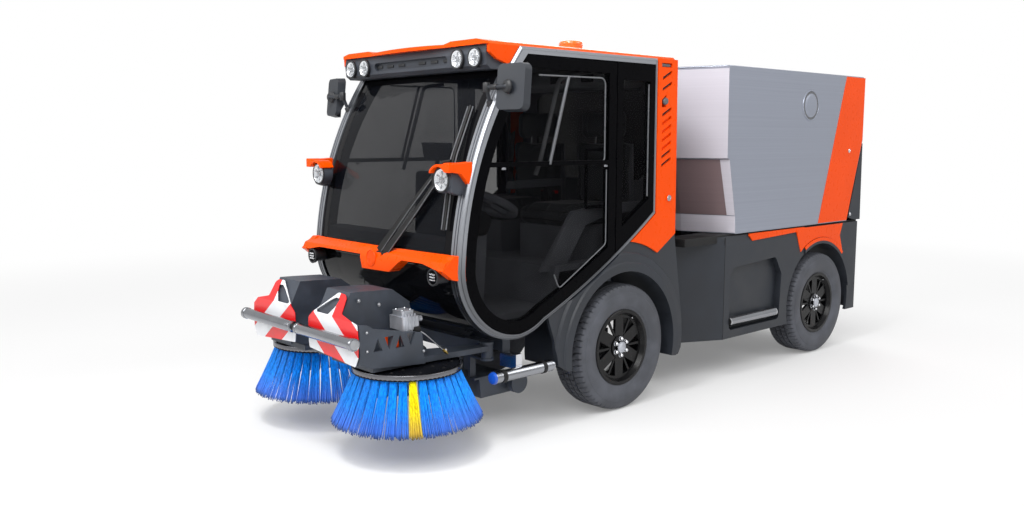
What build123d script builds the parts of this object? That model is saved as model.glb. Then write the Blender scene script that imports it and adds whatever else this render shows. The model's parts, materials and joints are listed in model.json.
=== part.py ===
"""Compact street sweeper: cab-forward carrier with a tipping hopper and two front side brushes.

Millimetres, +Z up from the road, the front of the machine towards -Y and its left side towards +X.
The origin lies on the road, on the centre plane, midway along the machine.
"""

from build123d import *
import os
from math import atan2, cos, hypot, sin

os.makedirs("parts", exist_ok=True)

# ---------------------------------------------------------------- driving dimensions
FRONT_AXLE_Y = -480.0
WHEELBASE = 2055.0
REAR_AXLE_Y = FRONT_AXLE_Y + WHEELBASE

BODY_HALF = 630.0  # outer face of the cab hoops
LIP_HALF = 645.0  # outer edge of the wheel arches
SEAT_GAP = 0.3  # between a piece and what carries it
DOOR_GAP = 6.0  # round a door

# wheels
TYRE_R = 346.5
TYRE_W = 215.0
TREAD_T = 16.0
BEAD_R = 197.0
BEAD_H = 12.0
WHEEL_X = 529.5
RIM_W = 176.0
RIM_WALL = 8.0
SPOKES = 6
HUB_R = 62.0
CAP_R = 30.0
KINGPIN_X = 440.0
KINGPIN_R = 12.0
FORK_HALF = 62.0  # from the wheel axis to the inside of the knuckle's ears
FORK_T = 22.0
SPINDLE_R = 24.0

# cab
ROOF_Z = 1912.0
HOOP_DEPTH = 60.0
HOOP_ROUND = 9.0
GROOVE = 6.0
CAB_REAR = FRONT_AXLE_Y + 258.0
CAB_WALL_Y = FRONT_AXLE_Y + 400.0
FLOOR_Z = 600.0
SEAT_SHELF_Z = 830.0
SHEET = 30.0
GLASS = 6.0
GLASS_SET = 8.0  # how deep a screen sits inside the hoops
DOOR_T = 38.0
DOOR_SET = 4.0  # how deep a door sits inside the hoops' outer face
DOOR_EDGE_Y = FRONT_AXLE_Y - 76.0
DOOR_BORDER = 58.0
CROSS_BAR_Z = 1357.0
HINGE_X = 628.0
BAR_LOW_Z = 812.0
BAR_HIGH_Z = 948.0
BAR_HALF = 624.0
SCREEN_SPLIT_Z = 880.0
SCREEN_TOP_Z = 1804.0
BOW_AXIS_Y = FRONT_AXLE_Y + 6200.0  # upright axis about which the nose is bowed
CAP_T = 26.0
BEACON_X = 300.0
LAMP_R = 46.0
ROOF_LAMPS = (525.0, 396.0)
ROOF_LAMP_Z = 1853.0
POD_X = 537.0
POD_Z = 1291.0
WIPER_ROOM = 36.0  # between the nose line and the inner halves of the lamp pods
LOW_LAMP_X = 535.0
LOW_LAMP_Z = 848.0
LOW_LAMP_R = 32.0
SEAT_X = 270.0

# hopper
HOPPER_HALF = 629.0
HOPPER_TOP = 1907.0
HOPPER_LOW = 898.0
HOPPER_WALL = 12.0
HOPPER_FRONT = REAR_AXLE_Y - 1125.0
HOPPER_REAR = REAR_AXLE_Y + 540.0
STEP_Z = 1360.0
HATCH_TOP = 1470.0
HATCH_FOOT = REAR_AXLE_Y + 352.0
HATCH_PIN_Y = HOPPER_REAR + 18.0
HATCH_PIN_Z = 1458.0
HATCH_PIN_R = 8.0
HATCH_KNUCKLE_R = 14.0
TIP_Y = REAR_AXLE_Y + 530.0
TIP_Z = 862.0
TIP_PIN_R = 13.0
TIP_EAR_R = 22.0
TIP_EAR_X = 300.0

LIFT_X = 90.0
BARREL_Y = REAR_AXLE_Y - 455.0
BARREL_Z = 550.0
BARREL_R = 38.0
EYE_Y = REAR_AXLE_Y + 95.0
EYE_Z = HOPPER_LOW - 40.0
EYE_R = 26.0
EYE_HALF = 22.0
ROD_R = 18.0
EAR_T = 8.0

# frame
RAIL_X = 190.0
RAIL_W = 50.0
RAIL_LOW = 420.0
RAIL_HIGH = 520.0
BEAM_Y = FRONT_AXLE_Y - 735.0
BEAM_HALF = 490.0
TOW_R = 15.0
TOW_Z = 290.0
SKIRT_LOW = 250.0
SKIRT_TOP = 885.0
ARCH_R = 420.0
PANEL = 20.0
LINER_X = 300.0
POCKET_X = BODY_HALF - 42  # floor of the skirt's recess round its roller

# sweeping gear
BRUSH_X = 375.0
BRUSH_Y = FRONT_AXLE_Y - 1265.0
BRUSH_TIP_R = 366.0
BRUSH_TIP_Z = 147.0
PLATE_R = 262.0
PLATE_TOP = 428.0
PLATE_T = 26.0
ARM_Z = 438.0
ARM_T = 26.0
PIVOT_X = 470.0
PIVOT_Y = FRONT_AXLE_Y - 845.0
PIVOT_R = 15.0
CARRIER_LOW = 400.0
CARRIER_HIGH = 470.0
POST_X = 250.0
PANEL_Y = FRONT_AXLE_Y - 1604.0
PANEL_T = 8.0
ROLLER_Y = FRONT_AXLE_Y - 1638.0
ROLLER_Z = 590.0
ROLLER_R = 25.0
MOUTH_LOW = 165.0
MOUTH_HIGH = 275.0


def write(builder, name):
    """Label a finished piece and write it under its own name."""
    builder.part.label = name
    export_step(builder.part, f"parts/{name}.step")


def write_pair(builder, name):
    """Write a left-hand piece and its mirror image."""
    write(builder, f"{name}_left")
    with BuildPart() as right:
        mirror(builder.part, about=Plane.YZ)
    write(right, f"{name}_right")


def front(y):
    """A place along the machine, measured back from the front axle."""
    return FRONT_AXLE_Y + y


def rear(y):
    """A place along the machine, measured back from the rear axle."""
    return REAR_AXLE_Y + y


def block(x, y, size_x, size_y, low, high, mode=Mode.ADD):
    """An upright box about a centre, put into the part in hand."""
    with BuildSketch(Plane.XY.offset(low)) as section:
        with Locations((x, y)):
            Rectangle(size_x, size_y)
    extrude(section.sketch, amount=high - low, mode=mode)


def disc(x, y, radius, low, high, mode=Mode.ADD):
    """An upright cylinder, put into the part in hand."""
    with BuildSketch(Plane.XY.offset(low)) as section:
        with Locations((x, y)):
            Circle(radius)
    extrude(section.sketch, amount=high - low, mode=mode)


def side_plate(points, x, depth, mode=Mode.ADD):
    """A plate drawn in side view and extruded outwards from x, put into the part in hand."""
    with BuildSketch(Plane.YZ.offset(x)) as section:
        with BuildLine():
            Polyline(*points, close=True)
        make_face()
    extrude(section.sketch, amount=depth, mode=mode)


def rod(start, end, radius, mode=Mode.ADD):
    """A round bar between two points, put into the part in hand."""
    axis = Vector(*end) - Vector(*start)
    with BuildSketch(Plane(origin=start, z_dir=axis)) as section:
        Circle(radius)
    extrude(section.sketch, amount=axis.length, mode=mode)


def side_outline(pillar, roof, sill, back):
    """The closed side line of the cab, drawn in from the hoop's outer edge by four widths."""
    top = (front(-763 + pillar), ROOF_Z - roof)
    waist = (front(-1155 + pillar), 870)
    belly = (front(-768), 508 + sill)
    keel = (front(-682 - 0.3 * sill), 527 + sill)
    heel = (front(-600 - 0.5 * sill), 570 + 0.87 * sill)
    corner = (CAB_REAR - back, 1065 + sill - 0.6 * back)
    Line((CAB_REAR - back, ROOF_Z - roof), top)
    ThreePointArc(top, (front(-1046 + pillar), 1401), waist)
    chin = (front(-1045 + 0.71 * pillar), 618 + 0.71 * sill)
    ThreePointArc(waist, chin, belly)
    ThreePointArc(belly, keel, heel)
    ThreePointArc(heel, (front(-158), 795 + sill), corner)
    Line(corner, (CAB_REAR - back, ROOF_Z - roof))


HOOP = (42, 34, 25, 22)
OUTER = (0, 0, 0, 0)


def side_face(widths=HOOP, inset=0.0):
    """The cab's side outline as a face, drawn in evenly by a further inset."""
    with BuildSketch(Plane.XY) as sketch:
        with BuildLine():
            side_outline(*widths)
        make_face()
        if inset:
            offset(amount=-inset)
    return sketch.sketch


def bowed(y):
    """Centre-plane place of the bowed nose line that meets the hoops at y."""
    return BOW_AXIS_Y - hypot(BODY_HALF - HOOP_DEPTH, BOW_AXIS_Y - y)


def nose_face(inset):
    """Centre-plane face of the cab's nose, drawn in evenly from the line of the hoops."""
    top = (bowed(front(-763)), ROOF_Z)
    waist = (bowed(front(-1155)), 870)
    belly = (bowed(front(-768)), 508)
    with BuildSketch(Plane.XY) as sketch:
        with BuildLine():
            ThreePointArc(top, (bowed(front(-1046)), 1401), waist)
            ThreePointArc(waist, (bowed(front(-1045)), 618), belly)
            Polyline(belly, (front(-300), 508), (front(-300), ROOF_Z), top)
        make_face()
        offset(amount=-inset)
    return sketch.sketch


def bow_round(face, half):
    """Turn a centre-plane face about the bow axis, out to a half width on both sides."""
    with BuildPart() as solid:
        with BuildSketch(Plane.YZ):
            add(face)
        revolve(axis=Axis((0, BOW_AXIS_Y, 0), (0, 0, 1)), revolution_arc=7)
        mirror(about=Plane.YZ)
        with BuildSketch(Plane.YZ.offset(-half)):
            with Locations((front(-600), 1200)):
                Rectangle(3000, 3000)
        extrude(amount=2 * half, mode=Mode.INTERSECT)
    return solid.part


def cab_envelope(gap):
    """The cab's bowed nose and its two hoops as one solid, grown by a gap, for trimming to."""
    with BuildPart() as solid:
        with BuildSketch(Plane.YZ.offset(BODY_HALF - HOOP_DEPTH - gap)):
            add(side_face(OUTER, -gap))
        extrude(amount=HOOP_DEPTH + 80)
        mirror(about=Plane.YZ)
        add(bow_round(nose_face(-gap), BODY_HALF))
    return solid.part


# ---------------------------------------------------------------- wheels and axles
def wheel_rim():
    """Cast rim: a dished barrel with flanges, six spokes and a hub."""
    inner_x = WHEEL_X - RIM_W / 2
    outer_x = WHEEL_X + RIM_W / 2
    disc_x = WHEEL_X + 52
    inside = BEAD_R - RIM_WALL
    with BuildPart() as rim:
        with BuildSketch(Plane.XY):
            with BuildLine():
                Polyline(
                    (inner_x, BEAD_R + BEAD_H),
                    (inner_x, BEAD_R),
                    (inner_x + 24, BEAD_R),
                    (inner_x + 40, BEAD_R - 20),
                    (outer_x - 40, BEAD_R - 20),
                    (outer_x - 24, BEAD_R),
                    (outer_x, BEAD_R),
                    (outer_x, BEAD_R + BEAD_H),
                    (outer_x + 4, BEAD_R + BEAD_H),
                    (outer_x + 4, inside),
                    (outer_x - 38, inside - 22),
                    (inner_x + 38, inside - 22),
                    (inner_x - 4, inside),
                    (inner_x - 4, BEAD_R + BEAD_H),
                    close=True,
                )
            make_face()
        revolve(axis=Axis.X)
        window = ((HUB_R + 14, 6), (154, 52), (164, 18), (164, -18), (154, -52), (HUB_R + 14, -6))
        with BuildSketch(Plane.YZ.offset(disc_x)):
            Circle(inside - 12)
            with BuildSketch(Plane.XY, mode=Mode.PRIVATE) as opening:
                with BuildLine():
                    Polyline(*window, close=True)
                make_face()
            with PolarLocations(0, SPOKES):
                add(opening.sketch, mode=Mode.SUBTRACT)
        extrude(amount=18)
        with BuildSketch(Plane.YZ.offset(disc_x - 12)):
            Circle(HUB_R)
        extrude(amount=36)
        with BuildSketch(Plane.YZ.offset(disc_x + 24)):
            Circle(CAP_R)
        extrude(amount=14)
    return rim.part


def wheel_tyre():
    """Hollow tyre carcass with bulged side walls and square tread shoulders."""
    half = TYRE_W / 2
    lip = RIM_W / 2 - SEAT_GAP
    seat = BEAD_R + SEAT_GAP
    bead = (WHEEL_X - lip, BEAD_R + BEAD_H + 1)
    shoulder = (WHEEL_X - half + 12, TYRE_R - 20)
    crown = (WHEEL_X - half + 36, TYRE_R)
    inner_crown = (WHEEL_X - half + 34, TYRE_R - TREAD_T - 6)
    with BuildPart() as tyre:
        with BuildSketch(Plane.XY):
            with BuildLine():
                Polyline((WHEEL_X - 72, seat), (WHEEL_X - lip, seat), bead)
                ThreePointArc(bead, (WHEEL_X - half, BEAD_R + 70), shoulder)
                ThreePointArc(shoulder, (WHEEL_X - half + 20, TYRE_R - 6), crown)
                Polyline(crown, (WHEEL_X, TYRE_R), (WHEEL_X, TYRE_R - TREAD_T), inner_crown)
                ThreePointArc(inner_crown, (WHEEL_X - half + 12, BEAD_R + 74), (WHEEL_X - 72, seat))
            make_face()
            mirror(about=Plane.YZ.offset(WHEEL_X))
        revolve(axis=Axis.X)
    return tyre.part


def knuckle():
    """Steering knuckle: ears round the king pin, an upright and the wheel spindle."""
    with BuildPart() as fork:
        for z in (TYRE_R + FORK_HALF, TYRE_R - FORK_HALF - FORK_T):
            with BuildSketch(Plane.XY.offset(z)):
                with Locations((KINGPIN_X, FRONT_AXLE_Y)):
                    Circle(28)
                with Locations((KINGPIN_X + 25, FRONT_AXLE_Y)):
                    Rectangle(50, 56)
                with Locations((KINGPIN_X, FRONT_AXLE_Y)):
                    Circle(KINGPIN_R + SEAT_GAP, mode=Mode.SUBTRACT)
            extrude(amount=FORK_T)
        with BuildSketch(Plane.YZ.offset(KINGPIN_X + 34)):
            with Locations((FRONT_AXLE_Y, TYRE_R)):
                Rectangle(60, 2 * (FORK_HALF + FORK_T))
        extrude(amount=16)
        with BuildSketch(Plane.YZ.offset(KINGPIN_X + 50)):
            with Locations((FRONT_AXLE_Y, TYRE_R)):
                Circle(SPINDLE_R)
        extrude(amount=WHEEL_X + 40 - SEAT_GAP - KINGPIN_X - 50)
    return fork


def axles():
    """Front beam with its king pins and the rear beam with its stub shafts, each on two saddles."""
    saddle = RAIL_LOW - SEAT_GAP
    with BuildPart() as beams:
        rod((20 - KINGPIN_X, FRONT_AXLE_Y, TYRE_R), (KINGPIN_X - 20, FRONT_AXLE_Y, TYRE_R), 36)
        for x in (KINGPIN_X, -KINGPIN_X):
            disc(x, FRONT_AXLE_Y, 26, TYRE_R - FORK_HALF + 4, TYRE_R + FORK_HALF - 4)
            disc(x, FRONT_AXLE_Y, KINGPIN_R, TYRE_R - FORK_HALF - FORK_T - 4, TYRE_R + FORK_HALF + FORK_T + 4)
        end = WHEEL_X + 40 - SEAT_GAP
        rod((-end, REAR_AXLE_Y, TYRE_R), (end, REAR_AXLE_Y, TYRE_R), SPINDLE_R)
        rod((-430, REAR_AXLE_Y, TYRE_R), (430, REAR_AXLE_Y, TYRE_R), 48)
        rod((-80, REAR_AXLE_Y, TYRE_R), (80, REAR_AXLE_Y, TYRE_R), 105)
        for y in (FRONT_AXLE_Y, REAR_AXLE_Y):
            for x in (RAIL_X, -RAIL_X):
                block(x, y, RAIL_W + 20, 100, TYRE_R, saddle)
    write(beams, "axles")


def wheel_set():
    """Both axles with their wheels; the front ones turn on steering knuckles."""
    axles()
    write_pair(knuckle(), "knuckle")
    for piece, shape in (("rim", wheel_rim()), ("tyre", wheel_tyre())):
        for end, y in (("front", FRONT_AXLE_Y), ("rear", REAR_AXLE_Y)):
            with BuildPart() as left:
                add(shape.moved(Location((0, y, TYRE_R))))
            write_pair(left, f"{piece}_{end}")


# ---------------------------------------------------------------- frame
def frame_rail():
    """Left rail with its cab, hopper and panel brackets and the rear tipping ear."""
    start = BEAM_Y + 25 + SEAT_GAP
    end = rear(500)
    tower = (
        (rear(440), RAIL_LOW),
        (end, RAIL_LOW),
        (TIP_Y + TIP_EAR_R, TIP_Z),
        (TIP_Y - TIP_EAR_R, TIP_Z),
        (rear(440), RAIL_HIGH + 80),
    )
    panel_x = BODY_HALF - PANEL - SEAT_GAP
    with BuildPart() as rail:
        block(RAIL_X, (start + end) / 2, RAIL_W, end - start, RAIL_LOW, RAIL_HIGH)
        block(RAIL_X, HOPPER_FRONT + 200, RAIL_W, 60, RAIL_HIGH, HOPPER_LOW - SEAT_GAP)
        block(RAIL_X, front(-600), RAIL_W, 60, RAIL_HIGH, FLOOR_Z - SEAT_GAP)
        block(RAIL_X, front(330), RAIL_W, 60, RAIL_HIGH, SEAT_SHELF_Z - SHEET - SEAT_GAP)
        for y in (front(958), rear(-445), rear(470)):
            block((RAIL_X + panel_x) / 2, y, panel_x - RAIL_X, 40, 450, 500)
        side_plate(tower, TIP_EAR_X, 16)
        with BuildSketch(Plane.YZ.offset(TIP_EAR_X)):
            with Locations((TIP_Y, TIP_Z)):
                Circle(TIP_EAR_R)
        extrude(amount=16)
        with BuildSketch(Plane.YZ.offset(TIP_EAR_X)):
            with Locations((TIP_Y, TIP_Z)):
                Circle(TIP_PIN_R + SEAT_GAP)
        extrude(amount=16, mode=Mode.SUBTRACT)
    return rail.part


def lift_bracket(x):
    """Pair of ears with a pin that carries the foot of a lift cylinder."""
    ear = (
        (BARREL_Y - 85, RAIL_LOW + 65),
        (BARREL_Y - 35, RAIL_LOW + 65),
        (BARREL_Y + 19, BARREL_Z - 10),
        (BARREL_Y - 10, BARREL_Z + 19),
    )
    for side in (x - EYE_HALF - 1 - EAR_T, x + EYE_HALF + 1):
        side_plate(ear, side, EAR_T)
        rod((side, BARREL_Y, BARREL_Z), (side + EAR_T, BARREL_Y, BARREL_Z), EYE_R - 4)
    rod((x - EYE_HALF - 1, BARREL_Y, BARREL_Z), (x + EYE_HALF + 1, BARREL_Y, BARREL_Z), 10)


def chassis_frame():
    """Ladder frame: two rails, cross members seated between them, front beam and tow jaw."""
    between = 2 * RAIL_X - RAIL_W - 2 * SEAT_GAP
    post_low = MOUTH_HIGH + 12
    beam_high = RAIL_LOW + 70
    with BuildPart() as frame:
        add(frame_rail())
        mirror(about=Plane.YZ)
        for y in (front(450), rear(330)):
            block(0, y, between, 60, RAIL_LOW + 5, RAIL_LOW + 65)
        block(0, BARREL_Y - 60, between, 60, RAIL_LOW + 5, RAIL_LOW + 65)
        lift_bracket(LIFT_X)
        lift_bracket(-LIFT_X)
        block(0, BEAM_Y, 2 * BEAM_HALF, 50, RAIL_LOW, beam_high)
        for x in (POST_X, -POST_X):
            block(x, BEAM_Y - 37, 20, 24, post_low, beam_high)
            block(x, BEAM_Y - 55, 50, 12, post_low, beam_high)
        block(0, rear(470), between, 60, RAIL_LOW, RAIL_HIGH)
        block(0, rear(460), 90, 20, TOW_Z, RAIL_LOW)
        block(0, rear(510), 90, 90, TOW_Z, TOW_Z + 20)
        disc(0, rear(515), TOW_R, TOW_Z, TOW_Z + 20, Mode.SUBTRACT)
        block(0, rear(505), 90, 11, RAIL_LOW + 20, RAIL_HIGH - 20)
    write(frame, "chassis_frame")


def engine_block():
    with BuildPart() as engine:
        block(0, front(770), 560, 420, RAIL_HIGH + SEAT_GAP, 850)
    write(engine, "engine_block")


# ---------------------------------------------------------------- cab
def cab_tub():
    """Folded floor pan: nose, foot well, step over the wheels, seat shelf and rear wall."""
    half = BODY_HALF - HOOP_DEPTH - SEAT_GAP
    profile = (
        (front(-1020), 640),
        (front(-940), FLOOR_Z),
        (front(-470), FLOOR_Z),
        (front(-440), SEAT_SHELF_Z - SHEET),
        (CAB_WALL_Y, SEAT_SHELF_Z - SHEET),
        (CAB_WALL_Y, ROOF_Z - 52 - SEAT_GAP),
        (CAB_WALL_Y - SHEET, ROOF_Z - 52 - SEAT_GAP),
        (CAB_WALL_Y - SHEET, SEAT_SHELF_Z),
        (front(-440) - SHEET, SEAT_SHELF_Z),
        (front(-470) - SHEET, FLOOR_Z + SHEET),
        (front(-940), FLOOR_Z + SHEET),
        (front(-1000), 665),
    )
    with BuildPart() as tub:
        side_plate(profile, -half, 2 * half)
        for x in (SEAT_X, -SEAT_X):
            block(x, front(-60), 380, 400, SEAT_SHELF_Z, SEAT_SHELF_Z + 180)
        with BuildSketch(Plane.XZ.offset(-CAB_WALL_Y)):
            with Locations((0, 1500)):
                RectangleRounded(900, 520, 60)
        extrude(amount=SHEET, mode=Mode.SUBTRACT)
    write(tub, "cab_tub")
    with BuildPart() as glass:
        with BuildSketch(Plane.XZ.offset(12 - CAB_WALL_Y)):
            with Locations((0, 1500)):
                RectangleRounded(900 - 2 * SEAT_GAP, 520 - 2 * SEAT_GAP, 60 - SEAT_GAP)
        extrude(amount=GLASS)
    write(glass, "rear_window")


def cab_hoops():
    """Chamfered, grooved aluminium hoops that run round each side of the cab."""
    with BuildPart() as hoops:
        with BuildSketch(Plane.YZ.offset(BODY_HALF - HOOP_DEPTH)):
            add(side_face(OUTER))
            add(side_face(), mode=Mode.SUBTRACT)
        extrude(amount=HOOP_DEPTH)
        chamfer(hoops.faces().sort_by(Axis.X)[-1].outer_wire().edges(), HOOP_ROUND)
        for x in (BODY_HALF - 0.42 * HOOP_DEPTH, BODY_HALF - 0.72 * HOOP_DEPTH):
            with BuildSketch(Plane.YZ.offset(x)):
                add(side_face(OUTER, -1))
                add(side_face(OUTER, GROOVE), mode=Mode.SUBTRACT)
            extrude(amount=GROOVE, mode=Mode.SUBTRACT)
        with BuildSketch(Plane.YZ.offset(BODY_HALF - GROOVE / 2)):
            add(side_face(OUTER, 15))
            add(side_face(OUTER, 15 + GROOVE / 2), mode=Mode.SUBTRACT)
        extrude(amount=GROOVE, mode=Mode.SUBTRACT)
        mirror(about=Plane.YZ)
    write(hoops, "cab_hoops")


def roof():
    """Ceiling panel between the hoops and the crowned cap with raised shoulders and front cheeks."""
    half = BODY_HALF - HOOP_DEPTH - SEAT_GAP
    low = ROOF_Z + SEAT_GAP
    edge = BODY_HALF - 14
    brow = front(-966)
    with BuildPart() as ceiling:
        ceiling_line = (
            (front(-735), ROOF_Z - 52),
            (front(420), ROOF_Z - 52),
            (front(420), ROOF_Z - 14),
            (front(-690), ROOF_Z - 14),
        )
        side_plate(ceiling_line, -half, 2 * half)
    write(ceiling, "cab_roof")

    with BuildPart() as cap:
        with BuildSketch(Plane.XZ.offset(-front(420))):
            with BuildLine():
                Polyline((0, low), (edge, low), (edge - 14, low + 14), (540, low + CAP_T))
                Polyline((540, low + CAP_T), (350, low + CAP_T), (300, low + 14))
                ThreePointArc((300, low + 14), (150, low + 17), (0, low + 18))
                Line((0, low + 18), (0, low))
            make_face()
        extrude(amount=front(420) - front(-1010))
        mirror(about=Plane.YZ)
        with BuildSketch(Plane.XY.offset(low - 1)):
            with BuildLine():
                Polyline((edge, front(420)), (edge, brow + 16), (edge - 20, brow), (330, brow))
                ThreePointArc((330, brow), (0, brow - 24), (-330, brow))
                Polyline((-330, brow), (20 - edge, brow), (-edge, brow + 16), (-edge, front(420)))
                Line((-edge, front(420)), (edge, front(420)))
            make_face()
        extrude(amount=CAP_T + 2, mode=Mode.INTERSECT)
        cheek = (
            (front(-752), low),
            (front(-950), low),
            (front(-948), 1876),
            (front(-905), 1846),
            (front(-832), 1824),
        )
        for x in (edge - 20, -edge):
            side_plate(cheek, x, 20)
        disc(BEACON_X, front(-88), 70, low, low + CAP_T)
        add(cab_envelope(SEAT_GAP), mode=Mode.SUBTRACT)
    write(cap, "roof_cap")


def light_bar():
    """Light bar under the cap's visor, with round lamp seats and a long recess between them."""
    half = BODY_HALF - 34 - SEAT_GAP
    profile = (
        (front(-700), ROOF_Z),
        (front(-948), ROOF_Z),
        (front(-956), ROOF_LAMP_Z + 20),
        (front(-950), 1818),
        (front(-925), 1800),
        (front(-700), 1800),
    )
    with BuildPart() as bar:
        side_plate(profile, -half, 2 * half)
        add(cab_envelope(SEAT_GAP), mode=Mode.SUBTRACT)
        with BuildSketch(Plane.XZ.offset(-front(-936))):
            with Locations((0, ROOF_LAMP_Z)):
                SlotOverall(620, 42)
        extrude(amount=60, mode=Mode.SUBTRACT)
        with BuildSketch(Plane.XZ.offset(-front(-890))):
            with Locations(*[(x * side, ROOF_LAMP_Z) for x in ROOF_LAMPS for side in (1, -1)]):
                Circle(LAMP_R)
        extrude(amount=100, mode=Mode.SUBTRACT)
    write(bar, "light_bar")


def lamp_unit(x, z, face_y, radius, back_y):
    """A round lamp: a barrel with a dished lens face, added to the part in hand."""
    rod((x, face_y, z), (x, back_y, z), radius)
    rod((x, face_y, z), (x, face_y + 6, z), radius - 7, Mode.SUBTRACT)


def lamps():
    """Round lamps: four in the light bar, one in each pod and one under each end of the bar."""
    with BuildPart() as units:
        for x in ROOF_LAMPS:
            lamp_unit(x, ROOF_LAMP_Z, front(-960), LAMP_R - SEAT_GAP, front(-890) - SEAT_GAP)
        lamp_unit(POD_X, POD_Z, front(-1168), LAMP_R, front(-1124))
        lamp_unit(LOW_LAMP_X, LOW_LAMP_Z, front(-1222), LOW_LAMP_R, front(-1100))
        mirror(about=Plane.YZ)
        add(cab_envelope(SEAT_GAP), mode=Mode.SUBTRACT)
    write(units, "lamps")


def beacon():
    low = ROOF_Z + CAP_T + 2 * SEAT_GAP
    with BuildPart() as light:
        disc(BEACON_X, front(-88), 66, low, low + 65)
        fillet(light.faces().sort_by(Axis.Z)[-1].edges(), 14)
    write(light, "beacon")


def windscreens():
    """Bowed upper screen above the front bar and the curved lower screen under it."""
    for name, low, high in (
        ("windscreen", SCREEN_SPLIT_Z + 1, SCREEN_TOP_Z),
        ("lower_windscreen", 560.0, SCREEN_SPLIT_Z - 1),
    ):
        with BuildSketch(Plane.XY) as band:
            add(nose_face(GLASS_SET))
            add(nose_face(GLASS_SET + GLASS), mode=Mode.SUBTRACT)
            with Locations((front(-1150), (low + high) / 2)):
                Rectangle(900, high - low, mode=Mode.INTERSECT)
        with BuildPart() as screen:
            add(bow_round(band.sketch, BODY_HALF - HOOP_DEPTH - SEAT_GAP))
        write(screen, name)


def door_panes():
    """The two openings of a door, above and below its cross bar."""
    with BuildSketch(Plane.XY) as panes:
        add(side_face(HOOP, DOOR_GAP + DOOR_BORDER))
        with Locations((DOOR_EDGE_Y - DOOR_BORDER + 1000, 1200)):
            Rectangle(2000, 2000, mode=Mode.SUBTRACT)
        with Locations((DOOR_EDGE_Y - 480, CROSS_BAR_Z)):
            Rectangle(1400, 22, mode=Mode.SUBTRACT)
    return panes.sketch


def doors():
    """Side doors: a bordered frame with a pane above and below the cross bar and a pull handle."""
    with BuildPart() as door:
        with BuildSketch(Plane.YZ.offset(BODY_HALF - DOOR_SET - DOOR_T)):
            add(side_face(HOOP, DOOR_GAP))
            with Locations((DOOR_EDGE_Y + 1000, 1200)):
                Rectangle(2000, 2000, mode=Mode.SUBTRACT)
            add(door_panes(), mode=Mode.SUBTRACT)
        extrude(amount=DOOR_T)
        grip = [(BODY_HALF - DOOR_SET - DOOR_T - 38, DOOR_EDGE_Y - 150, z) for z in (1120, 1420)]
        inner = BODY_HALF - DOOR_SET - DOOR_T
        rod(grip[0], grip[1], 9)
        for x, y, z in grip:
            rod((x, y, z), (x, DOOR_EDGE_Y - 44, z), 9)
            block((x - 9 + inner) / 2, DOOR_EDGE_Y - 36, inner - x + 9, 22, z - 11, z + 11)
    write_pair(door, "door")
    with BuildPart() as glass:
        with BuildSketch(Plane.YZ.offset(BODY_HALF - 16)):
            add(door_panes())
            offset(amount=-SEAT_GAP, kind=Kind.INTERSECTION)
        extrude(amount=GLASS)
    write_pair(glass, "door_glass")


def side_frames():
    """Fixed black frames behind the doors, with the doors' hinge pins and a pane each."""
    edge = DOOR_EDGE_Y + DOOR_GAP
    window = ((front(-24), 1010), (front(-24), 1785), (front(196), 1785), (front(196), 1150))
    with BuildPart() as frame:
        with BuildSketch(Plane.YZ.offset(BODY_HALF - DOOR_SET - DOOR_T)):
            add(side_face(HOOP, SEAT_GAP))
            with Locations((edge - 1000, 1200)):
                Rectangle(2000, 2000, mode=Mode.SUBTRACT)
            with BuildLine():
                Polyline(*window, close=True)
            make_face(mode=Mode.SUBTRACT)
        extrude(amount=DOOR_T)
        for z in (960, 1330, 1720):
            disc(HINGE_X, edge - DOOR_GAP / 2, DOOR_GAP / 2 - SEAT_GAP, z, z + 90)
        mirror(about=Plane.YZ)
    write(frame, "side_frames")
    with BuildPart() as glass:
        with BuildSketch(Plane.YZ.offset(BODY_HALF - 16)):
            with BuildLine():
                Polyline(*window, close=True)
            make_face()
            offset(amount=-SEAT_GAP, kind=Kind.INTERSECTION)
        extrude(amount=GLASS)
        mirror(about=Plane.YZ)
    write(glass, "quarter_glass")


def rear_pillars():
    """Louvred pillar covers behind the hoops, ending in a flag over the front arches."""
    with BuildPart() as pillar:
        with BuildSketch(Plane.YZ.offset(BODY_HALF - HOOP_DEPTH)):
            with BuildLine():
                Polyline(
                    (front(275), 846),
                    (front(432), 944),
                    (front(424), ROOF_Z),
                    (front(200), ROOF_Z),
                    (front(40), 925),
                )
                ThreePointArc((front(40), 925), (front(165), 897), (front(275), 846))
            make_face()
            add(side_face(OUTER, -SEAT_GAP), mode=Mode.SUBTRACT)
        extrude(amount=HOOP_DEPTH + 2)
        slot = 22
        vent = ((front(285), 1868), (front(375), 1868), (front(375), 1890), (front(285), 1890))
        side_plate(vent, BODY_HALF - 14, 20, Mode.SUBTRACT)
        for z in [1840 - 60 * k for k in (0, 1)] + [1640 - 46 * k for k in range(7)]:
            low, high = (front(295), z - 44), (front(375), z - 4)
            louvre = (low, high, (high[0], high[1] + slot), (low[0], low[1] + slot))
            side_plate(louvre, BODY_HALF - 10, 20, Mode.SUBTRACT)
        grip = ((front(290), 1650), (front(330), 1650), (front(330), 1722), (front(290), 1690))
        side_plate(grip, BODY_HALF - 30, 40, Mode.SUBTRACT)
        rod((BODY_HALF - 4, front(361), 1148), (BODY_HALF + 10, front(361), 1148), 17)
        mirror(about=Plane.YZ)
    write(pillar, "rear_pillars")


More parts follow.
